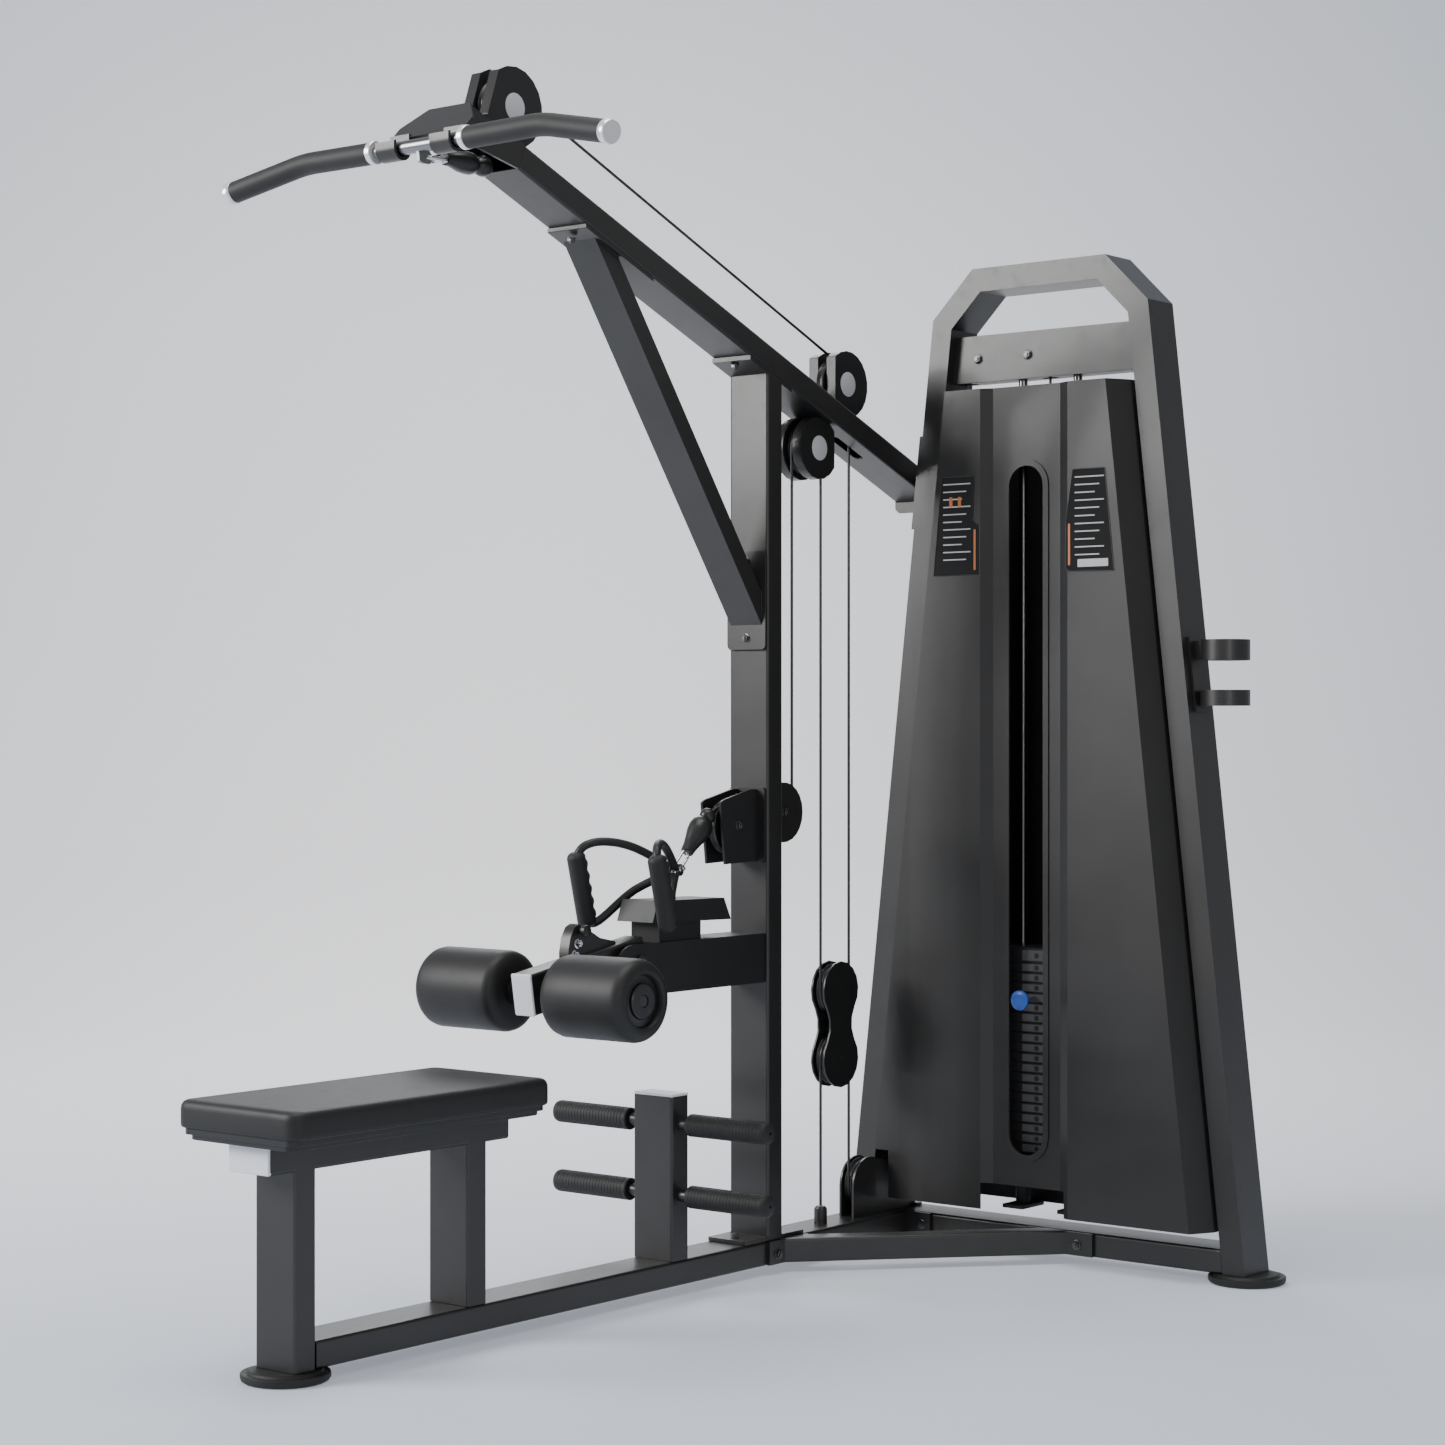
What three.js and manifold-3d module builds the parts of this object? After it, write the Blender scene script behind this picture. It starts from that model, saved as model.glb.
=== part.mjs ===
// Lat pulldown and low row machine with a single weight stack.
// Millimetres, +Z up, +Y from the seat toward the weight stack, +X to the user's right.
import * as THREE from 'three';
import { mergeVertices } from 'three/addons/utils/BufferGeometryUtils.js';
import Module from 'manifold-3d';

const wasm = await Module();
wasm.setup();

// ---------------------------------------------------------------- driving dimensions
const GAP = 0.3;
const TUBE_W = 100;
const TUBE_T = 50;
const WALL = 3;
const CORNER = 6;
const BEAM_Z0 = 20;
const BEAM_Z1 = 70;
const FOOT_R = 78;
const FRONT_POST_Y = -1303.8;
const REAR_POST_Y = -880.5;
const SEAT_Z0 = 363.7;
const SEAT_Z1 = 413.7;
const SEAT_BEAM = [-1386, -798];
const BOOM_Z = 1840.1;
const BOOM_ANGLE = THREE.MathUtils.degToRad(21.88);
const BOOM_S = [-831, 605];
const TOWER_X = 382;
const TOWER_Y = 519.7;
const TOWER_TOP = 2095.6;
const SHOULDER_Z = 1994;
const TOP_HALF = 165.2;
const LEG_HALF0 = 491.65;
const LEG_SLOPE = 0.11286;
const LEG_W = 50;
const CROSS_Z = [1856, 1956];
const CABLE_R = 2.5;
const RUN_R = 50;
const WHEEL_HALF = 9;
const AXLE_R = 5.7;
const PLATE_PITCH = 21.1;
const FIRST_HOLE_Z = 612.8;
const PLATE_COUNT = 19;
const LIFTED = 4;
const ROD_DX = 68;
const BAR_Y = -978;
const BAR_Z = 2167;
const PIVOT = [-416, 666];
const ARM_TILT = THREE.MathUtils.degToRad(9.5);
const APEX = [-268, 835];

const AXLE = {
  top: [-765, 2266],
  mid: [270, 1845],
  under: [170, 1703],
  rowRear: [70, 942],
  rowFront: [-92, 917],
  blockUp: [270, 560],
  blockLow: [270, 414],
  lowFront: [370, 137],
  lowRear: [TOWER_Y - 38, 125],
};
const CROSS_AXLE_Z = 1906;
const CROSS_AXLE_X = [216, 342];

// ---------------------------------------------------------------- materials
const PAINT = { color: 0x5d5f62, roughness: 0.5, metalness: 0.3 };
const BLACK = { color: 0x1d1e20, roughness: 0.6, metalness: 0.0 };
const RUBBER = { color: 0x17181a, roughness: 0.85, metalness: 0.0 };
const STEEL = { color: 0xb9bcc0, roughness: 0.3, metalness: 0.9 };
const CABLE = { color: 0x2a2b2d, roughness: 0.5, metalness: 0.4 };
const SHROUD = { color: 0x4c4e51, roughness: 0.55, metalness: 0.1 };
const BLUE = { color: 0x2b4f9c, roughness: 0.45, metalness: 0.0 };

const group = new THREE.Group();
group.name = 'lat_pulldown';

function add(name, geometry, look) {
  const mesh = new THREE.Mesh(geometry, new THREE.MeshStandardMaterial(look));
  mesh.name = name;
  group.add(mesh);
  return mesh;
}

// ---------------------------------------------------------------- solid helpers
function clean(geometry) {
  const g = geometry.clone();
  g.deleteAttribute('normal');
  g.deleteAttribute('uv');
  return mergeVertices(g, 1e-4);
}

function solid(geometry) {
  const g = clean(geometry);
  const mesh = new wasm.Mesh({
    numProp: 3,
    vertProperties: new Float32Array(g.attributes.position.array),
    triVerts: new Uint32Array(g.index.array),
  });
  return new wasm.Manifold(mesh);
}

function toGeometry(manifold) {
  const m = manifold.getMesh();
  const g = new THREE.BufferGeometry();
  g.setAttribute('position', new THREE.BufferAttribute(new Float32Array(m.vertProperties), 3));
  g.setIndex(new THREE.BufferAttribute(new Uint32Array(m.triVerts), 1));
  return g;
}

function join(...parts) {
  return parts.reduce((sum, part) => sum.add(part));
}

function cut(body, ...tools) {
  return tools.reduce((rest, tool) => rest.subtract(tool), body);
}

function shapeOf(points, holes = []) {
  const shape = new THREE.Shape(points.map((p) => new THREE.Vector2(p[0], p[1])));
  holes.forEach((h) => shape.holes.push(new THREE.Path(h.map((p) => new THREE.Vector2(p[0], p[1])))));
  return shape;
}

// Extrude a profile along one axis: X takes (y, z), Y takes (x, z), Z takes (x, y) points.
function prism(axis, points, from, to, holes = []) {
  const g = new THREE.ExtrudeGeometry(shapeOf(points, holes), {
    depth: to - from,
    bevelEnabled: false,
    curveSegments: 12,
  });
  const m = new THREE.Matrix4();
  if (axis === 'x') {
    m.makeBasis(new THREE.Vector3(0, 1, 0), new THREE.Vector3(0, 0, 1), new THREE.Vector3(1, 0, 0));
    m.setPosition(from, 0, 0);
  } else if (axis === 'y') {
    m.makeBasis(new THREE.Vector3(1, 0, 0), new THREE.Vector3(0, 0, 1), new THREE.Vector3(0, -1, 0));
    m.setPosition(0, to, 0);
  } else {
    m.setPosition(0, 0, from);
  }
  return g.applyMatrix4(m);
}

function box(x, y, z) {
  return solid(prism('z', rect(x[0], x[1], y[0], y[1]), z[0], z[1]));
}

function rect(a0, a1, b0, b1) {
  return [[a0, b0], [a1, b0], [a1, b1], [a0, b1]];
}

function roundRect(a0, a1, b0, b1, r, steps = 3) {
  const corners = [[a1 - r, b0 + r, -90], [a1 - r, b1 - r, 0], [a0 + r, b1 - r, 90], [a0 + r, b0 + r, 180]];
  return corners.flatMap(([cx, cy, start]) => arc([cx, cy], r, start, start + 90, steps));
}

function arc(centre, r, fromDeg, toDeg, steps) {
  return Array.from({ length: steps + 1 }, (_, i) => {
    const t = THREE.MathUtils.degToRad(fromDeg + ((toDeg - fromDeg) * i) / steps);
    return [centre[0] + r * Math.cos(t), centre[1] + r * Math.sin(t)];
  });
}

function disc(centre, r, steps = 24) {
  return arc(centre, r, 0, 360 - 360 / steps, steps - 1);
}

function rod(axis, centre, r, from, to, steps = 12) {
  return solid(prism(axis, disc(centre, r, steps), from, to));
}

// Hollow rectangular tube between two positions on one axis.
function tube(axis, a, b, from, to, wall = WALL) {
  const outer = solid(prism(axis, roundRect(a[0], a[1], b[0], b[1], CORNER), from, to));
  const bore = rect(a[0] + wall, a[1] - wall, b[0] + wall, b[1] - wall);
  return outer.subtract(solid(prism(axis, bore, from - 5, to + 5)));
}

// Closed lathe body; the profile is (radius, height) pairs around the chosen axis.
function lathe(profile, axis, centre, steps = 24) {
  const closed = [...profile, profile[0]].map((p) => new THREE.Vector2(p[0], p[1]));
  const g = new THREE.LatheGeometry(closed, steps);
  if (axis === 'z') g.rotateX(Math.PI / 2);
  if (axis === 'x') g.rotateZ(-Math.PI / 2);
  g.translate(...centre);
  return solid(g);
}

// Round bar swept along a 3-D polyline with flat ends.
function sweep(points, r, sides = 8) {
  const pts = points.map((p) => new THREE.Vector3(...p));
  const last = pts.length - 1;
  const positions = [];
  const index = [];
  let side = null;
  pts.forEach((p, i) => {
    const before = pts[i].clone().sub(pts[Math.max(i - 1, 0)]).normalize();
    const after = pts[Math.min(i + 1, last)].clone().sub(p).normalize();
    const dir = before.add(after).normalize();
    if (!side) side = Math.abs(dir.x) > 0.9 ? new THREE.Vector3(0, 1, 0) : new THREE.Vector3(1, 0, 0);
    side = side.clone().addScaledVector(dir, -side.dot(dir)).normalize();
    const up = dir.clone().cross(side);
    const stretch = 1 / Math.max(0.6, i > 0 && i < last ? after.dot(dir) : 1);
    for (let k = 0; k < sides; k += 1) {
      const t = (2 * Math.PI * k) / sides;
      const q = p.clone().addScaledVector(side, r * Math.cos(t)).addScaledVector(up, r * Math.sin(t) * stretch);
      positions.push(q.x, q.y, q.z);
    }
  });
  const base = positions.length / 3;
  positions.push(...pts[0].toArray(), ...pts[last].toArray());
  for (let i = 0; i < last; i += 1) {
    for (let k = 0; k < sides; k += 1) {
      const a = i * sides + k;
      const b = i * sides + ((k + 1) % sides);
      index.push(a, b, a + sides, b, b + sides, a + sides);
    }
  }
  for (let k = 0; k < sides; k += 1) {
    const n = (k + 1) % sides;
    index.push(base, n, k, base + 1, last * sides + k, last * sides + n);
  }
  const g = new THREE.BufferGeometry();
  g.setAttribute('position', new THREE.Float32BufferAttribute(positions, 3));
  g.setIndex(index);
  return g;
}

// Belt route round wheels in a plane: each stop is {c, r, turn}, turn +1 is counterclockwise.
function route(stops, stepDeg = 18) {
  const tangents = [];
  for (let i = 0; i + 1 < stops.length; i += 1) {
    const [p, q] = [stops[i], stops[i + 1]];
    const s1 = p.r * p.turn;
    const s2 = q.r * q.turn;
    const dx = q.c[0] - p.c[0];
    const dy = q.c[1] - p.c[1];
    const theta = Math.atan2(dy, dx) + Math.acos((s2 - s1) / Math.hypot(dx, dy));
    const n = [Math.cos(theta), Math.sin(theta)];
    tangents.push([[p.c[0] - s1 * n[0], p.c[1] - s1 * n[1]], [q.c[0] - s2 * n[0], q.c[1] - s2 * n[1]]]);
  }
  const out = [tangents[0][0]];
  for (let i = 1; i + 1 < stops.length; i += 1) {
    const { c, r, turn } = stops[i];
    const enter = tangents[i - 1][1];
    const leave = tangents[i][0];
    const a0 = Math.atan2(enter[1] - c[1], enter[0] - c[0]);
    let a1 = Math.atan2(leave[1] - c[1], leave[0] - c[0]);
    while ((a1 - a0) * turn < 0) a1 += 2 * Math.PI * turn;
    const steps = Math.max(2, Math.ceil(Math.abs(a1 - a0) / THREE.MathUtils.degToRad(stepDeg)));
    for (let k = 0; k <= steps; k += 1) {
      const t = a0 + ((a1 - a0) * k) / steps;
      out.push([c[0] + r * Math.cos(t), c[1] + r * Math.sin(t)]);
    }
  }
  out.push(tangents[tangents.length - 1][1]);
  return out;
}

const end = (c) => ({ c, r: 0, turn: 1 });
const midPlane = (pts) => pts.map(([y, z]) => [0, y, z]);
const towerPlane = (pts) => pts.map(([x, z]) => [x, TOWER_Y, z]);
const boomUnder = (y) => BOOM_Z - y * Math.tan(BOOM_ANGLE);
const boomTop = (y) => boomUnder(y) + TUBE_T / Math.cos(BOOM_ANGLE);
const legHalf = (z) => LEG_HALF0 - LEG_SLOPE * z;
const legInner = (z) => legHalf(z) - LEG_W * Math.hypot(1, LEG_SLOPE);

// ---------------------------------------------------------------- base and seat
function buildBase() {
  const beam = tube('y', [-50, 50], [BEAM_Z0, BEAM_Z1], FRONT_POST_Y + 25 + GAP, TOWER_Y - 50 - GAP);
  const flange = box([-112, 112], [TOWER_Y - 58, TOWER_Y - 50 - GAP], [BEAM_Z0, BEAM_Z1]);
  const bore = box([-47, 47], [TOWER_Y - 70, TOWER_Y], [BEAM_Z0 + 3, BEAM_Z1 - 3]);
  const anchor = lathe([[0, -2], [14, -2], [14, 30], [10, 36], [0, 36]], 'z', [0, 220, BEAM_Z1], 16);
  add('main_beam', toGeometry(join(cut(join(beam, flange), bore), anchor)), PAINT);

  const cross = tube('x', [TOWER_Y - 50, TOWER_Y + 50], [BEAM_Z0, BEAM_Z1], -140, 900);
  const inner = (z) => legInner(z) - GAP;
  const trim = [[TOWER_X - inner(10), 10], [TOWER_X + inner(10), 10], [TOWER_X + inner(80), 80],
    [TOWER_X - inner(80), 80]];
  add('tower_base_beam', toGeometry(cross.intersect(solid(prism('y', trim, 400, 640)))), PAINT);
  buildDiagonal();
  [['foot_front', 0, FRONT_POST_Y], ['foot_right', TOWER_X + legHalf(0) - 25, TOWER_Y],
    ['foot_left', TOWER_X - legHalf(0) + 25, TOWER_Y]].forEach(([name, x, y]) => {
    const profile = [[0, 0], [72, 0], [FOOT_R, 5], [FOOT_R, 16], [67, 14], [63, BEAM_Z0], [0, BEAM_Z0]];
    add(name, toGeometry(lathe(profile, 'z', [x, y, 0], 24)), RUBBER);
  });
}

function buildDiagonal() {
  const from = [50 + GAP, 52];
  const to = [428, TOWER_Y - 50 - GAP];
  const angle = Math.atan2(to[1] - from[1], to[0] - from[0]);
  const g = prism('x', roundRect(-25, 25, BEAM_Z0, BEAM_Z1, CORNER), -80, 660);
  const turn = new THREE.Matrix4().makeRotationZ(angle).setPosition(from[0], from[1], 0);
  const bore = prism('x', rect(-22, 22, BEAM_Z0 + 3, BEAM_Z1 - 3), -90, 670);
  const bar = solid(g.applyMatrix4(turn));
  const inside = solid(bore.applyMatrix4(turn));
  const window = box([from[0], 900], [-200, to[1]], [0, 100]);
  const sideFlange = box([from[0], from[0] + 7], [-28, 104], [BEAM_Z0 + 1, BEAM_Z1 - 1]);
  const endFlange = box([358, 520], [to[1] - 7, to[1]], [BEAM_Z0 + 1, BEAM_Z1 - 1]);
  add('base_diagonal', toGeometry(cut(join(bar.intersect(window), sideFlange, endFlange), inside)), PAINT);
}

function buildSeat() {
  const posts = [[FRONT_POST_Y, BEAM_Z0 + GAP], [REAR_POST_Y, BEAM_Z1 + GAP]];
  const skins = posts.map(([y, z]) => solid(prism('z', roundRect(-50, 50, y - 25, y + 25, CORNER), z, SEAT_Z0 + 6)));
  const bores = posts.map(([y, z]) => box([-47, 47], [y - 22, y + 22], [z - 1, SEAT_Z0]));
  const rail = tube('y', [-50, 50], [SEAT_Z0, SEAT_Z1], SEAT_BEAM[0] + 4, SEAT_BEAM[1]);
  const cap = solid(prism('y', roundRect(-50, 50, SEAT_Z0, SEAT_Z1, CORNER), SEAT_BEAM[0], SEAT_BEAM[0] + 5));
  add('seat_frame', toGeometry(cut(join(rail, cap, ...skins), ...bores)), PAINT);
  const zb = SEAT_Z1 + GAP;
  const lower = solid(prism('z', roundRect(-128, 128, -1411, -796, 16, 4), zb, zb + 10));
  const upper = solid(prism('z', roundRect(-139, 139, -1417, -791, 18, 4), zb + 9, zb + 20));
  add('seat_board', toGeometry(join(lower, upper)), BLACK);
  const z0 = zb + 20 + GAP;
  const rows = [[0, 0], [3, 3], [3, 24], [0, 36], [-8, 44], [-20, 48]];
  add('seat_cushion', loft(rows.map(([grow, z]) => [roundRect(-149 - grow, 149 + grow, -1420 - grow, -788 + grow,
    26 + grow, 4), z0 + z])), RUBBER);
}

// Skin between equal-length outlines stacked in Z, closed with flat ends.
function loft(rows) {
  const n = rows[0][0].length;
  const positions = rows.flatMap(([outline, z]) => outline.flatMap(([x, y]) => [x, y, z]));
  const index = [];
  for (let i = 0; i + 1 < rows.length; i += 1) {
    for (let k = 0; k < n; k += 1) {
      const a = i * n + k;
      const b = i * n + ((k + 1) % n);
      index.push(a, b, a + n, b, b + n, a + n);
    }
  }
  const top = (rows.length - 1) * n;
  for (let k = 1; k + 1 < n; k += 1) {
    index.push(0, k + 1, k, top, top + k, top + k + 1);
  }
  const g = new THREE.BufferGeometry();
  g.setAttribute('position', new THREE.Float32BufferAttribute(positions, 3));
  g.setIndex(index);
  return g;
}

function buildFootPegs() {
  const y = -304;
  const z0 = BEAM_Z1 + GAP;
  const skin = solid(prism('z', roundRect(-50, 50, y - 26, y + 26, CORNER), z0, 394));
  const bore = box([-47, 47], [y - 23, y + 23], [z0 - 1, 376]);
  const heights = [338.5, 198];
  const pegs = heights.map((z) => rod('x', [y, z], 12.5, -262, 262));
  const inner = heights.map((z) => rod('x', [y, z], 9.5, -263, 263, 12));
  add('foot_peg_post', toGeometry(cut(join(cut(skin, bore), ...pegs), ...inner)), PAINT);
  [['upper', heights[0]], ['lower', heights[1]]].forEach(([level, z]) => {
    [['left', -1], ['right', 1]].forEach(([side, s]) => {
      const profile = [[13.2, 76], [22, 77], [22, 264], [14, 274], [0, 274], [0, 263], [13.2, 263]];
      const placed = profile.map(([r, x]) => [r, s * x]);
      if (s < 0) placed.reverse();
      add(`foot_peg_grip_${level}_${side}`, toGeometry(lathe(placed, 'x', [0, y, z], 14)), RUBBER);
    });
  });
}

// ---------------------------------------------------------------- column, boom and brace
function buildColumn() {
  const z0 = BEAM_Z1 + GAP;
  const roof = (drop) => [[-200, boomUnder(-200) - drop], [200, boomUnder(200) - drop], [200, 0], [-200, 0]];
  const clip = solid(prism('x', roof(4), -60, 60));
  const post = tube('z', [-50, 50], [-25, 25], z0, 1900).intersect(clip);
  const base = solid(prism('z', roundRect(-50, 50, -98, 98, 5), z0, z0 + 8));
  const c = Math.cos(BOOM_ANGLE);
  const topPlate = [[-82, boomUnder(-82) - GAP], [-82, boomUnder(-82) - 9 / c], [56, boomUnder(56) - 9 / c],
    [56, boomUnder(56) - GAP]];
  const head = solid(prism('x', topPlate, -50, 50));
  const slot = box([-12, 12], [-60, 60], [872, 982]);
  const [ay, az] = AXLE.rowRear;
  const cheek = [[24, az - 62], [ay, az - 62], ...arc([ay, az], 62, -80, 80, 10), [ay, az + 62], [24, az + 62]];
  const cheeks = [[-20, -15], [15, 20]].map(([a, b]) => solid(prism('x', cheek, a, b)));
  const axle = rod('x', [ay, az], AXLE_R, -24, 24);
  const body = cut(join(post, base, head), slot);
  add('column', toGeometry(join(body, ...cheeks, axle)), PAINT);
}

function boomFrame(g) {
  return g.applyMatrix4(new THREE.Matrix4().makeRotationX(-BOOM_ANGLE).setPosition(0, 0, BOOM_Z));
}

function buildBoom() {
  const skin = solid(boomFrame(prism('y', roundRect(-50, 50, 0, 50, CORNER), BOOM_S[0], BOOM_S[1])));
  const bore = solid(boomFrame(prism('y', rect(-47, 47, 3, 47), BOOM_S[0] - 5, BOOM_S[1] + 5)));
  const slot = solid(prism('z', roundRect(-11, 11, 262, 362, 10, 4), 1500, 1900));
  const zTop = 1672;
  const plate = [[-50, 1600], [-40, 1591], [56, 1591], [legX(1591) - 0.4, 1591], [legX(zTop) - 0.4, zTop], [-50, zTop]];
  const endPlate = solid(prism('y', plate, 561, 569));
  const side = [[legX(1547) - 0.4, 1547], [legX(1747) - 0.4, 1747], [legX(1747) - 8, 1747], [legX(1547) - 8, 1547]];
  const sidePlate = solid(prism('y', side, 471, 569));
  add('boom', toGeometry(join(cut(skin, bore, slot), endPlate, sidePlate)), PAINT);
}

function legX(z) {
  return TOWER_X - legHalf(z);
}

function buildBrace() {
  const faceY = -25 - GAP;
  const slope = 1.408;
  const frontY = (z) => -69.2 - (z - 1378) / slope;
  const across = 40 * Math.hypot(1, 1 / slope);
  const strip = (a, b) => [[frontY(2300) + a, 2300], [frontY(1200) + a, 1200], [frontY(1200) + b, 1200],
    [frontY(2300) + b, 2300]];
  const c = Math.cos(BOOM_ANGLE);
  const under = (y) => boomUnder(y) - GAP;
  const field = [[-900, 1000], [faceY - 4, 1000], [faceY - 4, under(faceY - 4) - 5], [-900, under(-900) - 5]];
  const clip = solid(prism('x', field, -60, 60));
  const skin = solid(prism('x', strip(0, across), -40, 40)).intersect(clip);
  const bore = solid(prism('x', strip(3.6, across - 3.6), -37, 37));
  const field2 = [[-900, 1000], [faceY + 5, 1000], [faceY + 5, 1900], [-900, under(-900) - 9]];
  const top = [[-583, under(-583)], [-583, under(-583) - 8 / c], [-385, under(-385) - 8 / c], [-385, under(-385)]];
  const topPlate = solid(prism('x', top, -50, 50));
  const lowPlate = solid(prism('y', roundRect(-50, 50, 1276.6, 1480, 10), faceY - 8, faceY));
  const hollow = bore.intersect(solid(prism('x', field2, -60, 60)));
  add('boom_brace', toGeometry(cut(join(skin, topPlate, lowPlate), hollow)), PAINT);
}

function buildHookBracket() {
  const face = [[-52, 85], [-92, 34], [-92, 0], [92, 0], [92, 34], [52, 85]];
  const tilt = Math.atan2(60, 61.4);
  const g = prism('y', face, 0, 6);
  g.applyMatrix4(new THREE.Matrix4().makeRotationX(-tilt).setPosition(0, BAR_Y + 16.5, 2190));
  const inner = 16;
  const outer = 22;
  const hook = [...arc([BAR_Y, BAR_Z], inner, 0, -180, 8), [BAR_Y - inner, BAR_Z + 14],
    [BAR_Y - outer, BAR_Z + 12], ...arc([BAR_Y, BAR_Z], outer, -180, 0, 8), [BAR_Y + outer, 2196],
    [BAR_Y + inner, 2196]];
  const hooks = [[-92, -44], [44, 92]].map(([a, b]) => solid(prism('x', hook, a, b)));
  const frontY = BOOM_S[0] * Math.cos(BOOM_ANGLE);
  const frontZ = BOOM_Z - BOOM_S[0] * Math.sin(BOOM_ANGLE);
  const dy = 50 * Math.sin(BOOM_ANGLE);
  const dz = 50 * Math.cos(BOOM_ANGLE);
  const cheek = [[BAR_Y + 19, 2189], [frontY - 0.5, frontZ], [frontY + dy - 0.5, frontZ + dz], [-861, 2232],
    [-901, 2249]];
  const cheeks = [[-50, -44], [44, 50]].map(([a, b]) => solid(prism('x', cheek, a, b)));
  add('bar_hook_bracket', toGeometry(join(solid(g), ...hooks, ...cheeks)), PAINT);
}

// ---------------------------------------------------------------- pulleys
function wheelProfile(run) {
  const floor = run - CABLE_R - GAP;
  const rim = run + 4.5;
  return [[6, -WHEEL_HALF], [rim, -WHEEL_HALF], [floor, -3], [floor, 3], [rim, WHEEL_HALF], [6, WHEEL_HALF]];
}

function buildWheels() {
  const runs = { lowRear: 38 };
  const names = {
    top: 'wheel_top', mid: 'wheel_boom_upper', under: 'wheel_boom_lower', rowRear: 'wheel_row_rear',
    rowFront: 'wheel_row_front', blockUp: 'wheel_block_upper', blockLow: 'wheel_block_lower',
    lowFront: 'wheel_base_front', lowRear: 'wheel_base_rear',
  };
  Object.entries(AXLE).forEach(([key, [y, z]]) => {
    add(names[key], toGeometry(lathe(wheelProfile(runs[key] ?? RUN_R), 'x', [0, y, z], 20)), BLACK);
  });
  CROSS_AXLE_X.forEach((x, i) => {
    const name = i === 0 ? 'wheel_tower_left' : 'wheel_tower_right';
    add(name, toGeometry(lathe(wheelProfile(40), 'y', [x, TOWER_Y, CROSS_AXLE_Z], 20)), BLACK);
  });
}

// Pair of moulded half covers with the axle bolt between them.
function housing(name, [ay, az], outline, clipLine) {
  const pts = outline.map(([y, z]) => [ay + y, az + z]);
  const clip = solid(prism('x', clipLine, -60, 60));
  const covers = [[-35, -11], [11, 35]].map(([a, b]) => solid(prism('x', pts, a, b)).intersect(clip));
  add(name, toGeometry(join(...covers, rod('x', [ay, az], AXLE_R, -12, 12, 12))), BLACK);
}

function chord(r, flatAngle, flatDist, steps = 15) {
  const half = THREE.MathUtils.radToDeg(Math.acos(flatDist / r));
  return arc([0, 0], r, flatAngle + half, flatAngle + 360 - half, steps);
}

function buildHousings() {
  const lift = (f, d) => (y) => f(y) + d;
  const above = lift(boomTop, GAP);
  const below = lift(boomUnder, -GAP);
  const over = [[-2000, above(-2000)], [2000, above(2000)], [2000, 4000], [-2000, 4000]];
  const under = [[-2000, below(-2000)], [-2000, 0], [2000, 0], [2000, below(2000)]];
  housing('top_pulley_housing', AXLE.top, chord(76, 161, 61), over);
  housing('boom_pulley_housing', AXLE.mid, chord(71, 180, 44), over);
  housing('under_pulley_housing', AXLE.under, [...chord(66, 0, 54)], under);
}

function buildRowBracket() {
  const face = -25 - GAP;
  const [ay, az] = AXLE.rowFront;
  const cheek = [[face - 3, 846], [-134, 842], [-149, 966], [-140, 972], [-52, 992], [face - 3, 992]];
  const cheeks = [[-27, -21], [21, 27]].map(([a, b]) => solid(prism('x', cheek, a, b)));
  const pad = solid(prism('y', roundRect(-46, 46, 842, 996, 8), face - 6, face));
  const slot = box([-12, 12], [-60, 0], [872, 982]);
  const axle = rod('x', [ay, az], AXLE_R, -30, 30);
  add('row_bracket', toGeometry(join(cut(pad, slot), ...cheeks, axle)), BLACK);
}

function buildBlock() {
  const [ay, zu] = AXLE.blockUp;
  const zl = AXLE.blockLow[1];
  const zm = (zu + zl) / 2;
  const right = [...arc([ay, zl], 61, -90, 40, 6), [ay + 38, zm - 12], [ay + 38, zm + 12], ...arc([ay, zu], 61, -40, 90, 6)];
  const left = right.map(([y, z]) => [2 * ay - y, z]).reverse().slice(1, -1);
  const plates = [[-18, -13], [13, 18]].map(([a, b]) => solid(prism('x', [...right, ...left], a, b)));
  const axles = [zu, zl].map((z) => rod('x', [ay, z], AXLE_R, -22, 22, 8));
  const tie = rod('x', [ay, zm], 8, -14, 14, 8);
  add('floating_block', toGeometry(join(...plates, ...axles, tie)), BLACK);
}

function buildLowBracket() {
  const [fy, fz] = AXLE.lowFront;
  const [ry, rz] = AXLE.lowRear;
  const z0 = BEAM_Z1 + GAP;
  const cheek = [[312, z0], [540, z0], [540, 140], ...arc([ry, rz], 56, 20, 110, 5), ...arc([fy, fz], 58, 60, 180, 8)];
  const cheeks = [[-19, -14], [14, 19]].map(([a, b]) => solid(prism('x', cheek, a, b)));
  const axles = [[fy, fz], [ry, rz]].map((c) => rod('x', c, AXLE_R, -22, 22, 8));
  const foot = box([-30, 30], [TOWER_Y + 12, TOWER_Y + 30], [z0, z0 + 6]);
  add('base_pulley_bracket', toGeometry(join(...cheeks, ...axles, foot)), BLACK);

}

// ---------------------------------------------------------------- tower
function towerBand(inset, floor) {
  const h = (z) => legHalf(z) - inset * Math.hypot(1, LEG_SLOPE);
  const top = TOWER_TOP - inset;
  const k = Math.hypot(1, 1);
  const cut45 = TOP_HALF + TOWER_TOP - inset * k;
  const shoulder = (cut45 - (LEG_HALF0 - inset * Math.hypot(1, LEG_SLOPE))) / (1 - LEG_SLOPE);
  return [[-h(floor), floor], [h(floor), floor], [h(shoulder), shoulder], [cut45 - top, top],
    [top - cut45, top], [-h(shoulder), shoulder]].map(([x, z]) => [TOWER_X + x, z]);
}

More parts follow.
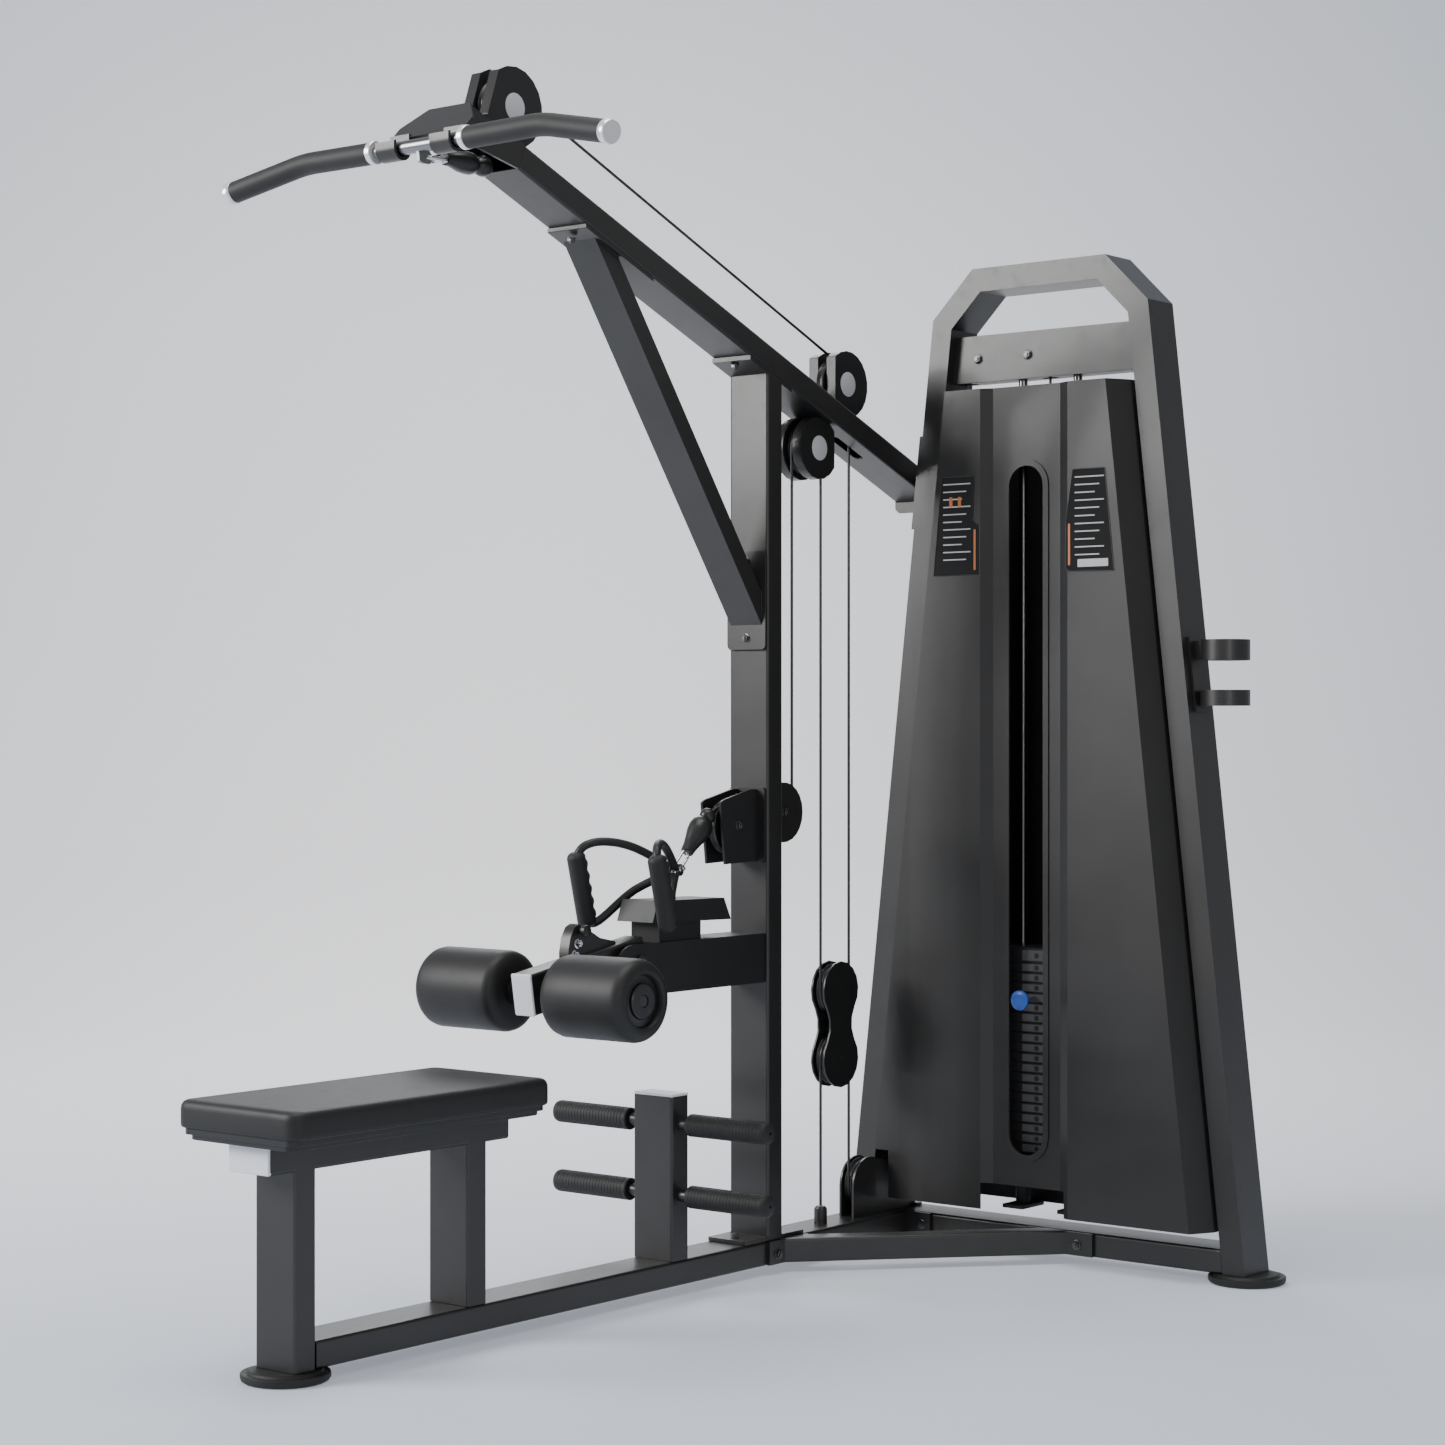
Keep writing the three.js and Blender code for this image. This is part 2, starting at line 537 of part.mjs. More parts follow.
function buildTower() {
  const y0 = TOWER_Y - 50;
  const y1 = TOWER_Y + 50;
  const ring = cut(solid(prism('y', towerBand(0, BEAM_Z0 + GAP), y0, y1)),
    solid(prism('y', towerBand(LEG_W, -40), y0 - 5, y1 + 5)));
  const core = cut(solid(prism('y', towerBand(WALL, -20), y0 + WALL, y1 - WALL)),
    solid(prism('y', towerBand(LEG_W - WALL, -60), y0, y1)));
  const reach = legInner(1906) + 5;
  const half = (z) => legInner(z) + 2;
  const span = [[-half(CROSS_Z[0]), CROSS_Z[0]], [half(CROSS_Z[0]), CROSS_Z[0]], [half(CROSS_Z[1]), CROSS_Z[1]],
    [-half(CROSS_Z[1]), CROSS_Z[1]]].map(([x, z]) => [TOWER_X + x, z]);
  const skin = solid(prism('y', span, TOWER_Y - 25, TOWER_Y + 25));
  const bore = box([TOWER_X - reach + 8, TOWER_X + reach - 8], [TOWER_Y - 22, TOWER_Y + 22],
    [CROSS_Z[0] + WALL, CROSS_Z[1] - WALL]);
  const exits = [180, 382].map((x) => box([x - 18, x + 18], [TOWER_Y - 9, TOWER_Y + 9], [CROSS_Z[0] - 9, CROSS_Z[0] + 9]));
  const axles = CROSS_AXLE_X.map((x) => rod('y', [x, CROSS_AXLE_Z], AXLE_R, TOWER_Y - 24, TOWER_Y + 24, 12));
  const frame = join(cut(ring, core), skin);
  add('tower_frame', toGeometry(join(cut(frame, bore, ...exits), ...axles)), PAINT);
}

function buildGuides() {
  const z0 = BEAM_Z1 + GAP;
  [['guide_rod_left', -ROD_DX], ['guide_rod_right', ROD_DX]].forEach(([name, dx]) => {
    const x = TOWER_X + dx;
    const pad = box([x - 26, x + 26], [TOWER_Y - 44, TOWER_Y + 44], [z0, z0 + 8]);
    const profile = [[0, z0 + 7], [16, z0 + 7], [16, 220], [9.5, 220], [9.5, CROSS_Z[0] - GAP], [0, CROSS_Z[0] - GAP]];
    add(name, toGeometry(join(pad, lathe(profile, 'z', [x, TOWER_Y, 0], 16))), STEEL);
  });
}

function buildStack() {
  const x = [TOWER_X - 120, TOWER_X + 120];
  const y = [TOWER_Y - 53, TOWER_Y + 53];
  const bottom = FIRST_HOLE_Z - (PLATE_COUNT - 0.5) * PLATE_PITCH;
  const holes = [[TOWER_X - ROD_DX, 10.3], [TOWER_X, 13], [TOWER_X + ROD_DX, 10.3]];
  const bores = holes.map(([cx, r]) => rod('z', [cx, TOWER_Y], r, 100, 900, 12));
  const stackOf = (first, last) => {
    const level = (i) => FIRST_HOLE_Z - i * PLATE_PITCH;
    const slabs = [];
    for (let i = first; i <= last; i += 1) {
      slabs.push(box(x, y, [level(i) - 10, level(i) + 10]));
    }
    const core = box([x[0] + 8, x[1] - 8], [y[0] + 8, y[1] - 8], [level(last) - 9, level(first) + 9]);
    const depth = first === 0 ? TOWER_Y : y[0] + 16;
    const pins = slabs.map((_, k) => rod('y', [TOWER_X, level(first + k)], 7, y[0] - 5, depth, 4));
    return cut(join(core, ...slabs), ...bores, ...pins);
  };
  add('lifted_plates', toGeometry(stackOf(0, LIFTED - 1)), BLACK);
  add('resting_plates', toGeometry(stackOf(LIFTED, PLATE_COUNT - 1)), BLACK);
  const headZ = FIRST_HOLE_Z + 10 + 1;
  const head = cut(solid(prism('z', roundRect(x[0], x[1], y[0], y[1], 4, 1), headZ, headZ + 30)), bores[0], bores[2]);
  const stem = rod('z', [TOWER_X, TOWER_Y], 12, bottom + 4, headZ + 5, 12);
  const eye = rod('z', [TOWER_X, TOWER_Y], 11, headZ + 25, headZ + 58, 12);
  const stemHoles = Array.from({ length: LIFTED }, (_, i) =>
    rod('y', [TOWER_X, FIRST_HOLE_Z - i * PLATE_PITCH], 5.6, TOWER_Y - 14, TOWER_Y + 14, 6));
  add('stack_head', toGeometry(join(head, cut(stem, ...stemHoles), eye)), BLACK);
  const pz = FIRST_HOLE_Z - (LIFTED - 1) * PLATE_PITCH;
  const pin = rod('y', [TOWER_X, pz], 4.4, 408, TOWER_Y + 10, 8);
  const knob = lathe([[0, 396], [18, 396], [21, 399], [21, 408], [17, 411], [0, 411]], 'y', [TOWER_X, 0, pz], 24);
  add('selector_pin', toGeometry(join(pin, knob)), BLUE);
}

// ---------------------------------------------------------------- shroud and cup holder
function buildShrouds() {
  const face = 415;
  const channel = 427;
  const t = 2.5;
  const back = TOWER_Y - 50 - GAP;
  const section = (z) => {
    const outer = legInner(z) - 8;
    return [[-outer, back + 22], [-outer, back - 2], [-outer + 28, face], [-108, face], [-83, channel],
      [83, channel], [108, face], [outer - 28, face], [outer, back - 2], [outer, back + 22]];
  };
  const skin = (z) => {
    const line = section(z);
    const inside = line.map(([x, y], i) => [x + (i < 3 ? t : i > 6 ? -t : 0), y + (i > 0 && i < 9 ? t : 0)]).reverse();
    return [...line, ...inside].map(([x, y]) => [TOWER_X + x, y]);
  };
  const shell = loftShell(skin(103), 103, skin(1832), 1832);
  const slot = solid(prism('y', stadium(TOWER_X, 42, 224, 1665), 400, 440));
  const notch = box([TOWER_X - 108, TOWER_X + 95], [400, 520], [90, 158]);
  const corner = box([-200, 36], [400, 520], [90, 205]);
  const rimOuter = solid(prism('y', stadium(TOWER_X, 55, 211, 1678), 424, 428));
  const front = cut(join(shell, rimOuter), slot, notch, corner);
  add('shroud_front', toGeometry(front), SHROUD);
  const rear = (z) => {
    const w = legInner(z) - 8;
    const y = TOWER_Y + 60;
    return [[-w, 552], [-w, y], [w, y], [w, 552], [w - t, 552], [w - t, y - t], [-w + t, y - t], [-w + t, 552]]
      .map(([x, yy]) => [TOWER_X + x, yy]);
  };
  add('shroud_rear', loftShell(rear(103), 103, rear(1832), 1832, true), SHROUD);
}

function stadium(x, r, z0, z1) {
  return [...arc([x, z1 - r], r, 0, 180, 10), ...arc([x, z0 + r], r, 180, 360, 10)];
}

// Straight-sided body between two plan outlines (same point count) at two heights.
function loftShell(low, z0, high, z1, raw = false) {
  const shape = (pts) => THREE.ShapeUtils.triangulateShape(pts.map((p) => new THREE.Vector2(...p)), []);
  const n = low.length;
  const area = THREE.ShapeUtils.area(low.map((p) => new THREE.Vector2(...p)));
  const lo = area > 0 ? low : [...low].reverse();
  const hi = area > 0 ? high : [...high].reverse();
  const positions = [...lo.flatMap(([x, y]) => [x, y, z0]), ...hi.flatMap(([x, y]) => [x, y, z1])];
  const index = [];
  for (let k = 0; k < n; k += 1) {
    const m = (k + 1) % n;
    index.push(k, m, k + n, m, m + n, k + n);
  }
  const caps = shape(lo);
  caps.forEach(([a, b, c]) => index.push(a, c, b, a + n, b + n, c + n));
  const g = new THREE.BufferGeometry();
  g.setAttribute('position', new THREE.Float32BufferAttribute(positions, 3));
  g.setIndex(index);
  return raw ? g : solid(g);
}

function buildCupHolder() {
  const rightX = (z) => TOWER_X + legHalf(z) + 0.4;
  const plate = [[rightX(1150), 1150], [rightX(1302), 1302], [rightX(1302) + 6, 1302], [rightX(1150) + 6, 1150]];
  const back = solid(prism('y', plate.reverse(), TOWER_Y - 30, TOWER_Y + 30));
  const cx = 800;
  const ring = (z0, z1) => cut(rod('z', [cx, TOWER_Y], 50, z0, z1, 20), rod('z', [cx, TOWER_Y], 45, z0 - 1, z1 + 1, 20));
  const arm = (z0, z1) => box([rightX(z0), cx - 47], [TOWER_Y - 12, TOWER_Y + 12], [z0 + 2, z1 - 2]);
  const rings = [[1254, 1296], [1162, 1194]].map(([a, b]) => join(ring(a, b), arm(a, b)));
  const floor = cut(rod('z', [cx, TOWER_Y], 46, 1162, 1166, 20), rod('z', [cx, TOWER_Y], 22, 1150, 1180, 12));
  add('cup_holder', toGeometry(join(back, ...rings, floor)), PAINT);
}

// ---------------------------------------------------------------- bar, handle and thigh rollers
function bentPath(s, x0, x1) {
  const pts = [[x0, 0, 0], [275, 0, 1]];
  const bend = 4;
  for (let i = 1; i <= bend; i += 1) {
    const t = i / bend;
    pts.push([275 + 50 * t, -3.7 * t * t, 1 - 5.6 * t * t]);
  }
  const fall = (x1 - 300) / 174;
  pts.push([x1, -26 * fall, 1 - 39 * fall]);
  return pts.map(([x, y, z]) => [s * x, BAR_Y + y, BAR_Z + z]);
}

function buildBar() {
  const right = bentPath(1, 0, 474);
  const left = bentPath(-1, 0, 474).slice(1).reverse();
  const bar = solid(sweep([...left, ...right], 13, 8));
  const collars = [-1, 1].map((s) => rod('x', [BAR_Y, BAR_Z], 21.5, s > 0 ? 110 : -122, s > 0 ? 122 : -110, 14));
  const caps = [-1, 1].map((s) => {
    const tip = bentPath(s, 0, 480).pop();
    const inner = bentPath(s, 0, 465).pop();
    return solid(sweep([inner, tip], 21.5, 14));
  });
  const tab = prism('x', [[BAR_Y - 6, BAR_Z - 8], [BAR_Y + 6, BAR_Z - 30], [BAR_Y + 26, BAR_Z - 30],
    [BAR_Y + 26, BAR_Z - 10], [BAR_Y + 8, BAR_Z - 2]], -4, 4);
  const hole = rod('x', [BAR_Y + 17, BAR_Z - 20], 5.5, -10, 10, 12);
  add('lat_bar', toGeometry(join(bar, ...collars, ...caps, cut(solid(tab), hole))), STEEL);
  [['lat_grip_left', -1], ['lat_grip_right', 1]].forEach(([name, s]) => {
    const outer = solid(sweep(bentPath(s, 122.4, 464.4), 20.5, 12));
    const core = solid(sweep(bentPath(s, 100, 474), 13.5, 8));
    add(name, toGeometry(cut(outer, core)), RUBBER);
  });
  buildBarConnector();
}

function loop(points, r, sides = 8) {
  const closed = points.length;
  const pts = points.map((p) => new THREE.Vector3(...p));
  const normal = pts[1].clone().sub(pts[0]).cross(pts[2].clone().sub(pts[1])).normalize();
  const positions = [];
  const index = [];
  pts.forEach((p, i) => {
    const dir = pts[(i + 1) % closed].clone().sub(pts[(i + closed - 1) % closed]).normalize();
    const out = dir.clone().cross(normal);
    for (let k = 0; k < sides; k += 1) {
      const t = (2 * Math.PI * k) / sides;
      const q = p.clone().addScaledVector(out, r * Math.cos(t)).addScaledVector(normal, r * Math.sin(t));
      positions.push(q.x, q.y, q.z);
    }
  });
  for (let i = 0; i < closed; i += 1) {
    for (let k = 0; k < sides; k += 1) {
      const a = i * sides + k;
      const b = i * sides + ((k + 1) % sides);
      const c = ((i + 1) % closed) * sides + k;
      const d = ((i + 1) % closed) * sides + ((k + 1) % sides);
      index.push(a, c, b, b, c, d);
    }
  }
  const g = new THREE.BufferGeometry();
  g.setAttribute('position', new THREE.Float32BufferAttribute(positions, 3));
  g.setIndex(index);
  const s = solid(g);
  return s.volume() > 0 ? s : solid(flip(g));
}

function flip(g) {
  const idx = g.index.array;
  for (let i = 0; i < idx.length; i += 3) {
    [idx[i + 1], idx[i + 2]] = [idx[i + 2], idx[i + 1]];
  }
  return g;
}

function buildBarConnector() {
  const z = BAR_Z - 20;
  const y0 = -815;
  const profile = [[0, 20], [9, 19], [16, 13], [19, 4], [19, -4], [15, -12], [10, -17], [17, -24], [21, -40], [19, -62],
    [13, -84], [12, -98], [0, -98]].map(([r, y]) => [r, y]).reverse();
  const body = lathe(profile, 'y', [0, y0, z + 6], 14);
  const eye = box([-3, 3], [y0 - 122, y0 - 96], [z + 2, z + 12]);
  const oval = [...arc([y0 - 118, 0], 13, -90, 90, 6), ...arc([BAR_Y + 26, 0], 11, 90, 270, 6)].map(([y, x]) => [x, y, z]);
  const link = loop(oval, 3.4, 6);
  add('lat_connector', toGeometry(join(body, eye, link, box([-10, 10], [y0 - 112, y0 - 100], [z - 3, z + 12]))), STEEL);
}

// Frame of the parked row handle: a runs from the apex to the grips, b runs up the grip.
function handlePoint(s, a, b) {
  const reach = a / 187;
  const lean = THREE.MathUtils.degToRad(14);
  return [s * (7 + 97 * reach), APEX[0] - 157 * reach - b * Math.sin(lean), APEX[1] - 30 * reach + b * Math.cos(lean)];
}

function buildRowHandle() {
  const parts = [];
  [-1, 1].forEach((s) => {
    const upper = [[0, 4], [36, 38], [80, 68], [130, 82], [168, 78], [185, 60]];
    const grip = [[187, 44], [187, -64]];
    const lower = [[182, -76], [168, -79], [92, -31], [60, -20], [0, -4]];
    const at = (pts) => pts.map(([a, b]) => handlePoint(s, a, b));
    parts.push(solid(sweep(at([...upper, ...grip, ...lower]), 8, 6)));
    parts.push(solid(sweep(at([[187, 66], [187, -78]]), 17.5, 10)));
    parts.push(solid(prism('x', roundRect(APEX[0] - 22, APEX[0] + 22, APEX[1] - 12, APEX[1] + 12, 8, 2),
      s > 0 ? 5 : -11, s > 0 ? 11 : -5)));
  });
  const bolts = [[APEX[0] + 13, APEX[1] + 3], [APEX[0] - 13, APEX[1] - 4]].map((c) => rod('x', c, 4.5, -14, 14, 12));
  add('row_handle', toGeometry(join(...parts, ...bolts)), RUBBER);
}

function buildRowConnector() {
  const from = [-159, 940];
  const ball = new THREE.IcosahedronGeometry(16, 1).translate(0, from[0], from[1]);
  const dir = Math.atan2(867 - 940, -226 + 159);
  const len = Math.hypot(73, 67);
  const profile = [[0, 0], [12, 0], [22, 12], [24, 26], [22, 44], [15, 68], [13, 84], [0, 84]];
  const sleeve = new THREE.LatheGeometry(profile.map((p) => new THREE.Vector2(...p)), 12);
  sleeve.rotateX(Math.PI / 2 - 0).rotateX(dir - Math.PI / 2);
  const body = solid(sleeve.translate(0, from[0] + 12 * Math.cos(dir), from[1] + 12 * Math.sin(dir)));
  const near = [from[0] + (len + 6) * Math.cos(dir), from[1] + (len + 6) * Math.sin(dir)];
  const far = [APEX[0] + 13 - 1, APEX[1] + 3 - 1];
  const axis = Math.atan2(far[1] - near[1], far[0] - near[0]);
  const deg = THREE.MathUtils.radToDeg(axis);
  const oval = [...arc(far, 9.5, deg - 90, deg + 90, 6), ...arc(near, 9.5, deg + 90, deg + 270, 6)].map(([y, z]) => [0, y, z]);
  add('row_connector', toGeometry(join(solid(ball), body, loop(oval, 2.8, 6))), BLACK);
}

function armFrame(g) {
  return g.applyMatrix4(new THREE.Matrix4().makeRotationX(ARM_TILT).setPosition(0, PIVOT[0], PIVOT[1]));
}

function buildThigh() {
  const face = -25 - GAP;
  const side = [[face, 598], [face, 698], [-435, 698], ...arc([-437, 648], 50, 90, 180, 5), ...arc([-447, 638], 40, 180, 270, 4)];
  const cheeks = [[-42, -37], [37, 42]].map(([a, b]) => solid(prism('x', side.slice().reverse(), a, b)));
  const sleeve = tube('y', [-42, 42], [598, 698], -340, face, 5);
  const pedestal = box([-36, 36], [-352, -224], [697, 775]);
  const saddle = [[-384, 738], [-368, 780], [-162, 777], [-140, 733]];
  const skirts = cut(solid(prism('x', saddle, -46, 46)),
    solid(prism('x', [[-388, 700], [-366, 774], [-166, 771], [-136, 700]], -41, 41)));
  const bolt = rod('x', PIVOT, 9, -46, 46, 12);
  const deck = box([-42, 42], [-364, -330], [693, 698]);
  add('thigh_housing', toGeometry(join(...cheeks, sleeve, deck, pedestal, skirts, bolt)), PAINT);

  const skin = solid(armFrame(prism('y', roundRect(-25, 25, -40, 40, CORNER), -291, 34)));
  const bore = solid(armFrame(prism('y', rect(-22, 22, -37, 37), -283, 60)));
  const eye = rod('x', PIVOT, 15, -33, 33, 12);
  const pin = rod('x', PIVOT, 9.4, -60, 60, 12);
  const lock = [[-590, 655], [-592, 690], [-586, 718], [-574, 738], [-560, 744], [-546, 738], [-500, 714], [-455, 705],
    [-450, 680]];
  const plate = solid(prism('x', lock.reverse(), -12, 12));
  const axle = rod('x', [-660, 618], 11, -258, 258, 12);
  const washers = [-1, 1].map((s) => rod('x', [-660, 618], 26, s > 0 ? 24 : -60, s > 0 ? 60 : -24, 14));
  const arm = cut(join(cut(join(skin, plate), bore), eye), pin);
  add('thigh_arm', toGeometry(join(arm, axle, ...washers)), PAINT);
  [['thigh_roller_left', -1], ['thigh_roller_right', 1]].forEach(([name, s]) => {
    const R = 77.5;
    const profile = [[11.4, 61], [48, 61], [66, 65], [75, 75], [R, 90], [R, 234], [75, 249], [66, 259], [52, 263],
      [48, 259], [11.4, 259]].map(([r, x]) => [r, s * x]);
    if (s < 0) profile.reverse();
    add(name, toGeometry(lathe(profile, 'x', [0, -660, 618], 22)), RUBBER);
  });
}

// ---------------------------------------------------------------- cables
function buildCables() {
  const wheel = (key, turn, r = RUN_R) => ({ c: AXLE[key], r, turn });
  const cable = (name, pts) => add(name, toGeometry(solid(sweep(pts, CABLE_R, 6))), CABLE);
  const pull = route([end([-815, BAR_Z - 20 + 6 + 22]), wheel('top', -1), wheel('mid', -1), end([320, 1838])]);
  cable('cable_pull', midPlane(pull));
  const loopUp = route([end([320, 1837.6]), wheel('blockUp', -1), end([220, 1700])]);
  cable('cable_upper_loop', midPlane(loopUp));
  const row = route([end([220, 1700.4]), wheel('under', 1), wheel('rowRear', -1), wheel('rowFront', 1),
    end([-159, 940])]);
  const [leave, ball] = row.slice(-2);
  const keep = 1 - 16.8 / Math.hypot(ball[0] - leave[0], ball[1] - leave[1]);
  row[row.length - 1] = leave.map((v, i) => v + (ball[i] - v) * keep);
  cable('cable_row', midPlane(row));
  const loopLow = route([end([220, BEAM_Z1 + 37]), wheel('blockLow', -1), end([320, 141])]);
  cable('cable_lower_loop', midPlane(loopLow));
  const low = route([end([320, 140.6]), wheel('lowFront', 1), wheel('lowRear', 1, 38), end([TOWER_Y, 135])]);
  const high = route([end([0, 140]), { c: [CROSS_AXLE_X[0], CROSS_AXLE_Z], r: 40, turn: -1 },
    { c: [CROSS_AXLE_X[1], CROSS_AXLE_Z], r: 40, turn: -1 }, end([TOWER_X, FIRST_HOLE_Z + 11 + 59])]);
  cable('cable_stack', [...midPlane(low), ...towerPlane(high)]);
}

buildBase();
buildSeat();
buildFootPegs();
buildColumn();
buildBoom();
buildBrace();
buildHookBracket();
buildHousings();
buildWheels();
buildRowBracket();
buildBlock();
buildLowBracket();
buildTower();
buildGuides();
buildStack();
buildShrouds();
buildCupHolder();
buildBar();
buildRowHandle();
buildRowConnector();
buildThigh();
buildCables();

const bounds = new THREE.Box3().setFromObject(group);
const shift = new THREE.Vector3(-(bounds.min.x + bounds.max.x) / 2, -(bounds.min.y + bounds.max.y) / 2, -bounds.min.z);
group.children.forEach((mesh) => mesh.geometry.translate(shift.x, shift.y, shift.z));

export default group;
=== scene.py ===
"""Looks of the lat pulldown machine: every visible piece, its finish, the stage and the camera."""

import math
from dataclasses import dataclass, field
from enum import Enum
from typing import Callable, Iterable, Sequence

import bmesh
import bpy
from mathutils import Matrix, Vector


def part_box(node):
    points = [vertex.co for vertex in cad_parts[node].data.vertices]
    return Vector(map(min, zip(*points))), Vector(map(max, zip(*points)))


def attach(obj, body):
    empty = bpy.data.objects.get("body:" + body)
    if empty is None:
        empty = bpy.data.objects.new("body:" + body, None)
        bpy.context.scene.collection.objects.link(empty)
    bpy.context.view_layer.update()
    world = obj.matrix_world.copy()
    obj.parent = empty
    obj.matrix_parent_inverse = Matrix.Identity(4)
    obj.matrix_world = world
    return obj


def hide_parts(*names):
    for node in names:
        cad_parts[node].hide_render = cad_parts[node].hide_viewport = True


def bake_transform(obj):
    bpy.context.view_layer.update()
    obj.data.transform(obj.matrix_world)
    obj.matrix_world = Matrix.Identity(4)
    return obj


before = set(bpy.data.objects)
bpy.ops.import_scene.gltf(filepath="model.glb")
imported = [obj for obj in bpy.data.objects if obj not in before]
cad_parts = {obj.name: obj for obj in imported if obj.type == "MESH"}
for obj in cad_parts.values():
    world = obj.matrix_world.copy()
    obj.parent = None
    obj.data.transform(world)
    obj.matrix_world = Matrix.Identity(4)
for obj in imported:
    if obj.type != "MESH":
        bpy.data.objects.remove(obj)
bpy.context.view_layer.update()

Point = tuple[float, float, float]
Pair = tuple[float, float]
Colour = tuple[float, float, float]


def centre(node: str) -> Vector:
    """Give the middle of a CAD node's box.

    Args:
        node: name of the CAD node.
    Returns:
        The middle point, in metres.
    """
    low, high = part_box(node)
    return (low + high) / 2


# The machine is drawn in millimetres about the column's foot; ORIGIN is that point in the row frame.
ORIGIN = Vector((centre("foot_front").x, centre("foot_front").y + 1.3038, 0.0))


def at(x: float, y: float, z: float) -> Vector:
    """Turn machine millimetres into row-frame metres.

    Args:
        x: millimetres across from the main beam's middle.
        y: millimetres along from the column's middle.
        z: millimetres above the floor.
    Returns:
        The point in metres.
    """
    return Vector((x, y, z)) * 0.001 + ORIGIN


class Axis(Enum):
    """Direction a turned piece is turned about."""

    X = (1.0, 0.0, 0.0)
    Y = (0.0, 1.0, 0.0)
    Z = (0.0, 0.0, 1.0)


# --- shader maths
class Graph:
    """The node tree of one material."""

    def __init__(self, name: str) -> None:
        """Start an empty material.

        Args:
            name: the material's name.
        """
        self.material = bpy.data.materials.new(name)
        self.material.use_nodes = True
        self.tree = self.material.node_tree
        self.shader = self.tree.nodes["Principled BSDF"]

    def node(self, kind: str, settings: dict[str, object] | None = None, **inputs: object) -> bpy.types.Node:
        """Make one node.

        Args:
            kind: the node's type without its ShaderNode prefix.
            settings: properties of the node.
            inputs: values or sockets, keyed by input name with _ for a space.
        Returns:
            The new node.
        """
        made = self.tree.nodes.new("ShaderNode" + kind)
        for key, value in (settings or {}).items():
            setattr(made, key, value)
        for key, value in inputs.items():
            self.feed(made.inputs[key.replace("_", " ")], value)
        return made

    def feed(self, target: bpy.types.NodeSocket, value: object) -> None:
        """Link or set an input.

        Args:
            target: the input socket.
            value: a Sock to link, or a plain value to set.
        """
        if isinstance(value, Sock):
            self.tree.links.new(value.socket, target)
        else:
            target.default_value = value

    def coords(self, stretch: Point = (1.0, 1.0, 1.0)) -> "Sock":
        """Object coordinates, stretched along each axis.

        Args:
            stretch: factor for each axis.
        Returns:
            The coordinates.
        """
        raw = Sock(self, self.node("TexCoord").outputs["Object"])
        scaled = self.node("VectorMath", {"operation": "MULTIPLY"})
        self.feed(scaled.inputs[0], raw)
        scaled.inputs[1].default_value = stretch
        return Sock(self, scaled.outputs[0])

    def noise(self, scale: float, detail: float = 3.0, stretch: Point = (1.0, 1.0, 1.0)) -> "Sock":
        """Noise between 0 and 1.

        Args:
            scale: waves per metre.
            detail: octaves.
            stretch: factor for each axis.
        Returns:
            The noise value.
        """
        made = self.node("TexNoise", Vector=self.coords(stretch), Scale=scale, Detail=detail, Roughness=0.55)
        return Sock(self, made.outputs[0])

    def cells(self, scale: float) -> "Sock":
        """Distance to the nearest cell centre.

        Args:
            scale: cells per metre.
        Returns:
            The distance.
        """
        return Sock(self, self.node("TexVoronoi", Vector=self.coords(), Scale=scale).outputs["Distance"])

    def mix(self, share: object, first: Colour, second: object) -> "Sock":
        """Blend two colours.

        Args:
            share: how much of the second, 0 to 1.
            first: colour at 0.
            second: colour or socket at 1.
        Returns:
            The blended colour.
        """
        made = self.node("Mix", {"data_type": "RGBA"})
        self.feed(made.inputs[0], share)
        self.feed(made.inputs[6], (*first, 1.0) if isinstance(first, tuple) else first)
        self.feed(made.inputs[7], (*second, 1.0) if isinstance(second, tuple) else second)
        return Sock(self, made.outputs[2])


@dataclass(frozen=True)
class Sock:
    """A number in a shader, with ordinary arithmetic."""

    graph: Graph
    socket: bpy.types.NodeSocket

    def _math(self, operation: str, *values: object, clamp: bool = False) -> "Sock":
        """Join a Math node to this number.

        Args:
            operation: name of the Math operation.
            values: sockets or numbers for its inputs.
            clamp: keep the result between 0 and 1.
        Returns:
            The result.
        """
        made = self.graph.node("Math", {"operation": operation, "use_clamp": clamp})
        for target, value in zip(made.inputs, values):
            self.graph.feed(target, value)
        return Sock(self.graph, made.outputs[0])

    def __add__(self, other: object) -> "Sock":
        """Add the two.

        Args:
            other: the second number.
        Returns:
            The result.
        """
        return self._math("ADD", self, other)

    __radd__ = __add__

    def __sub__(self, other: object) -> "Sock":
        """Take the other from this.

        Args:
            other: the second number.
        Returns:
            The result.
        """
        return self._math("SUBTRACT", self, other)

    def __rsub__(self, other: object) -> "Sock":
        """Take this from the other.

        Args:
            other: the first number.
        Returns:
            The result.
        """
        return self._math("SUBTRACT", other, self)

    def __mul__(self, other: object) -> "Sock":
        """Multiply the two.

        Args:
            other: the second number.
        Returns:
            The result.
        """
        return self._math("MULTIPLY", self, other)

    __rmul__ = __mul__

    def __truediv__(self, other: object) -> "Sock":
        """Divide this by the other.

        Args:
            other: the second number.
        Returns:
            The result.
        """
        return self._math("DIVIDE", self, other)

    def __rtruediv__(self, other: object) -> "Sock":
        """Divide the other by this.

        Args:
            other: the first number.
        Returns:
            The result.
        """
        return self._math("DIVIDE", other, self)

    def step(self, low: float, high: float) -> "Sock":
        """Ramp from 0 at low to 1 at high.

        Args:
            low: value that gives 0.
            high: value that gives 1.
        Returns:
            The clamped ramp.
        """
        share = (self - low) / (high - low)
        return share._math("ADD", share, 0.0, clamp=True)


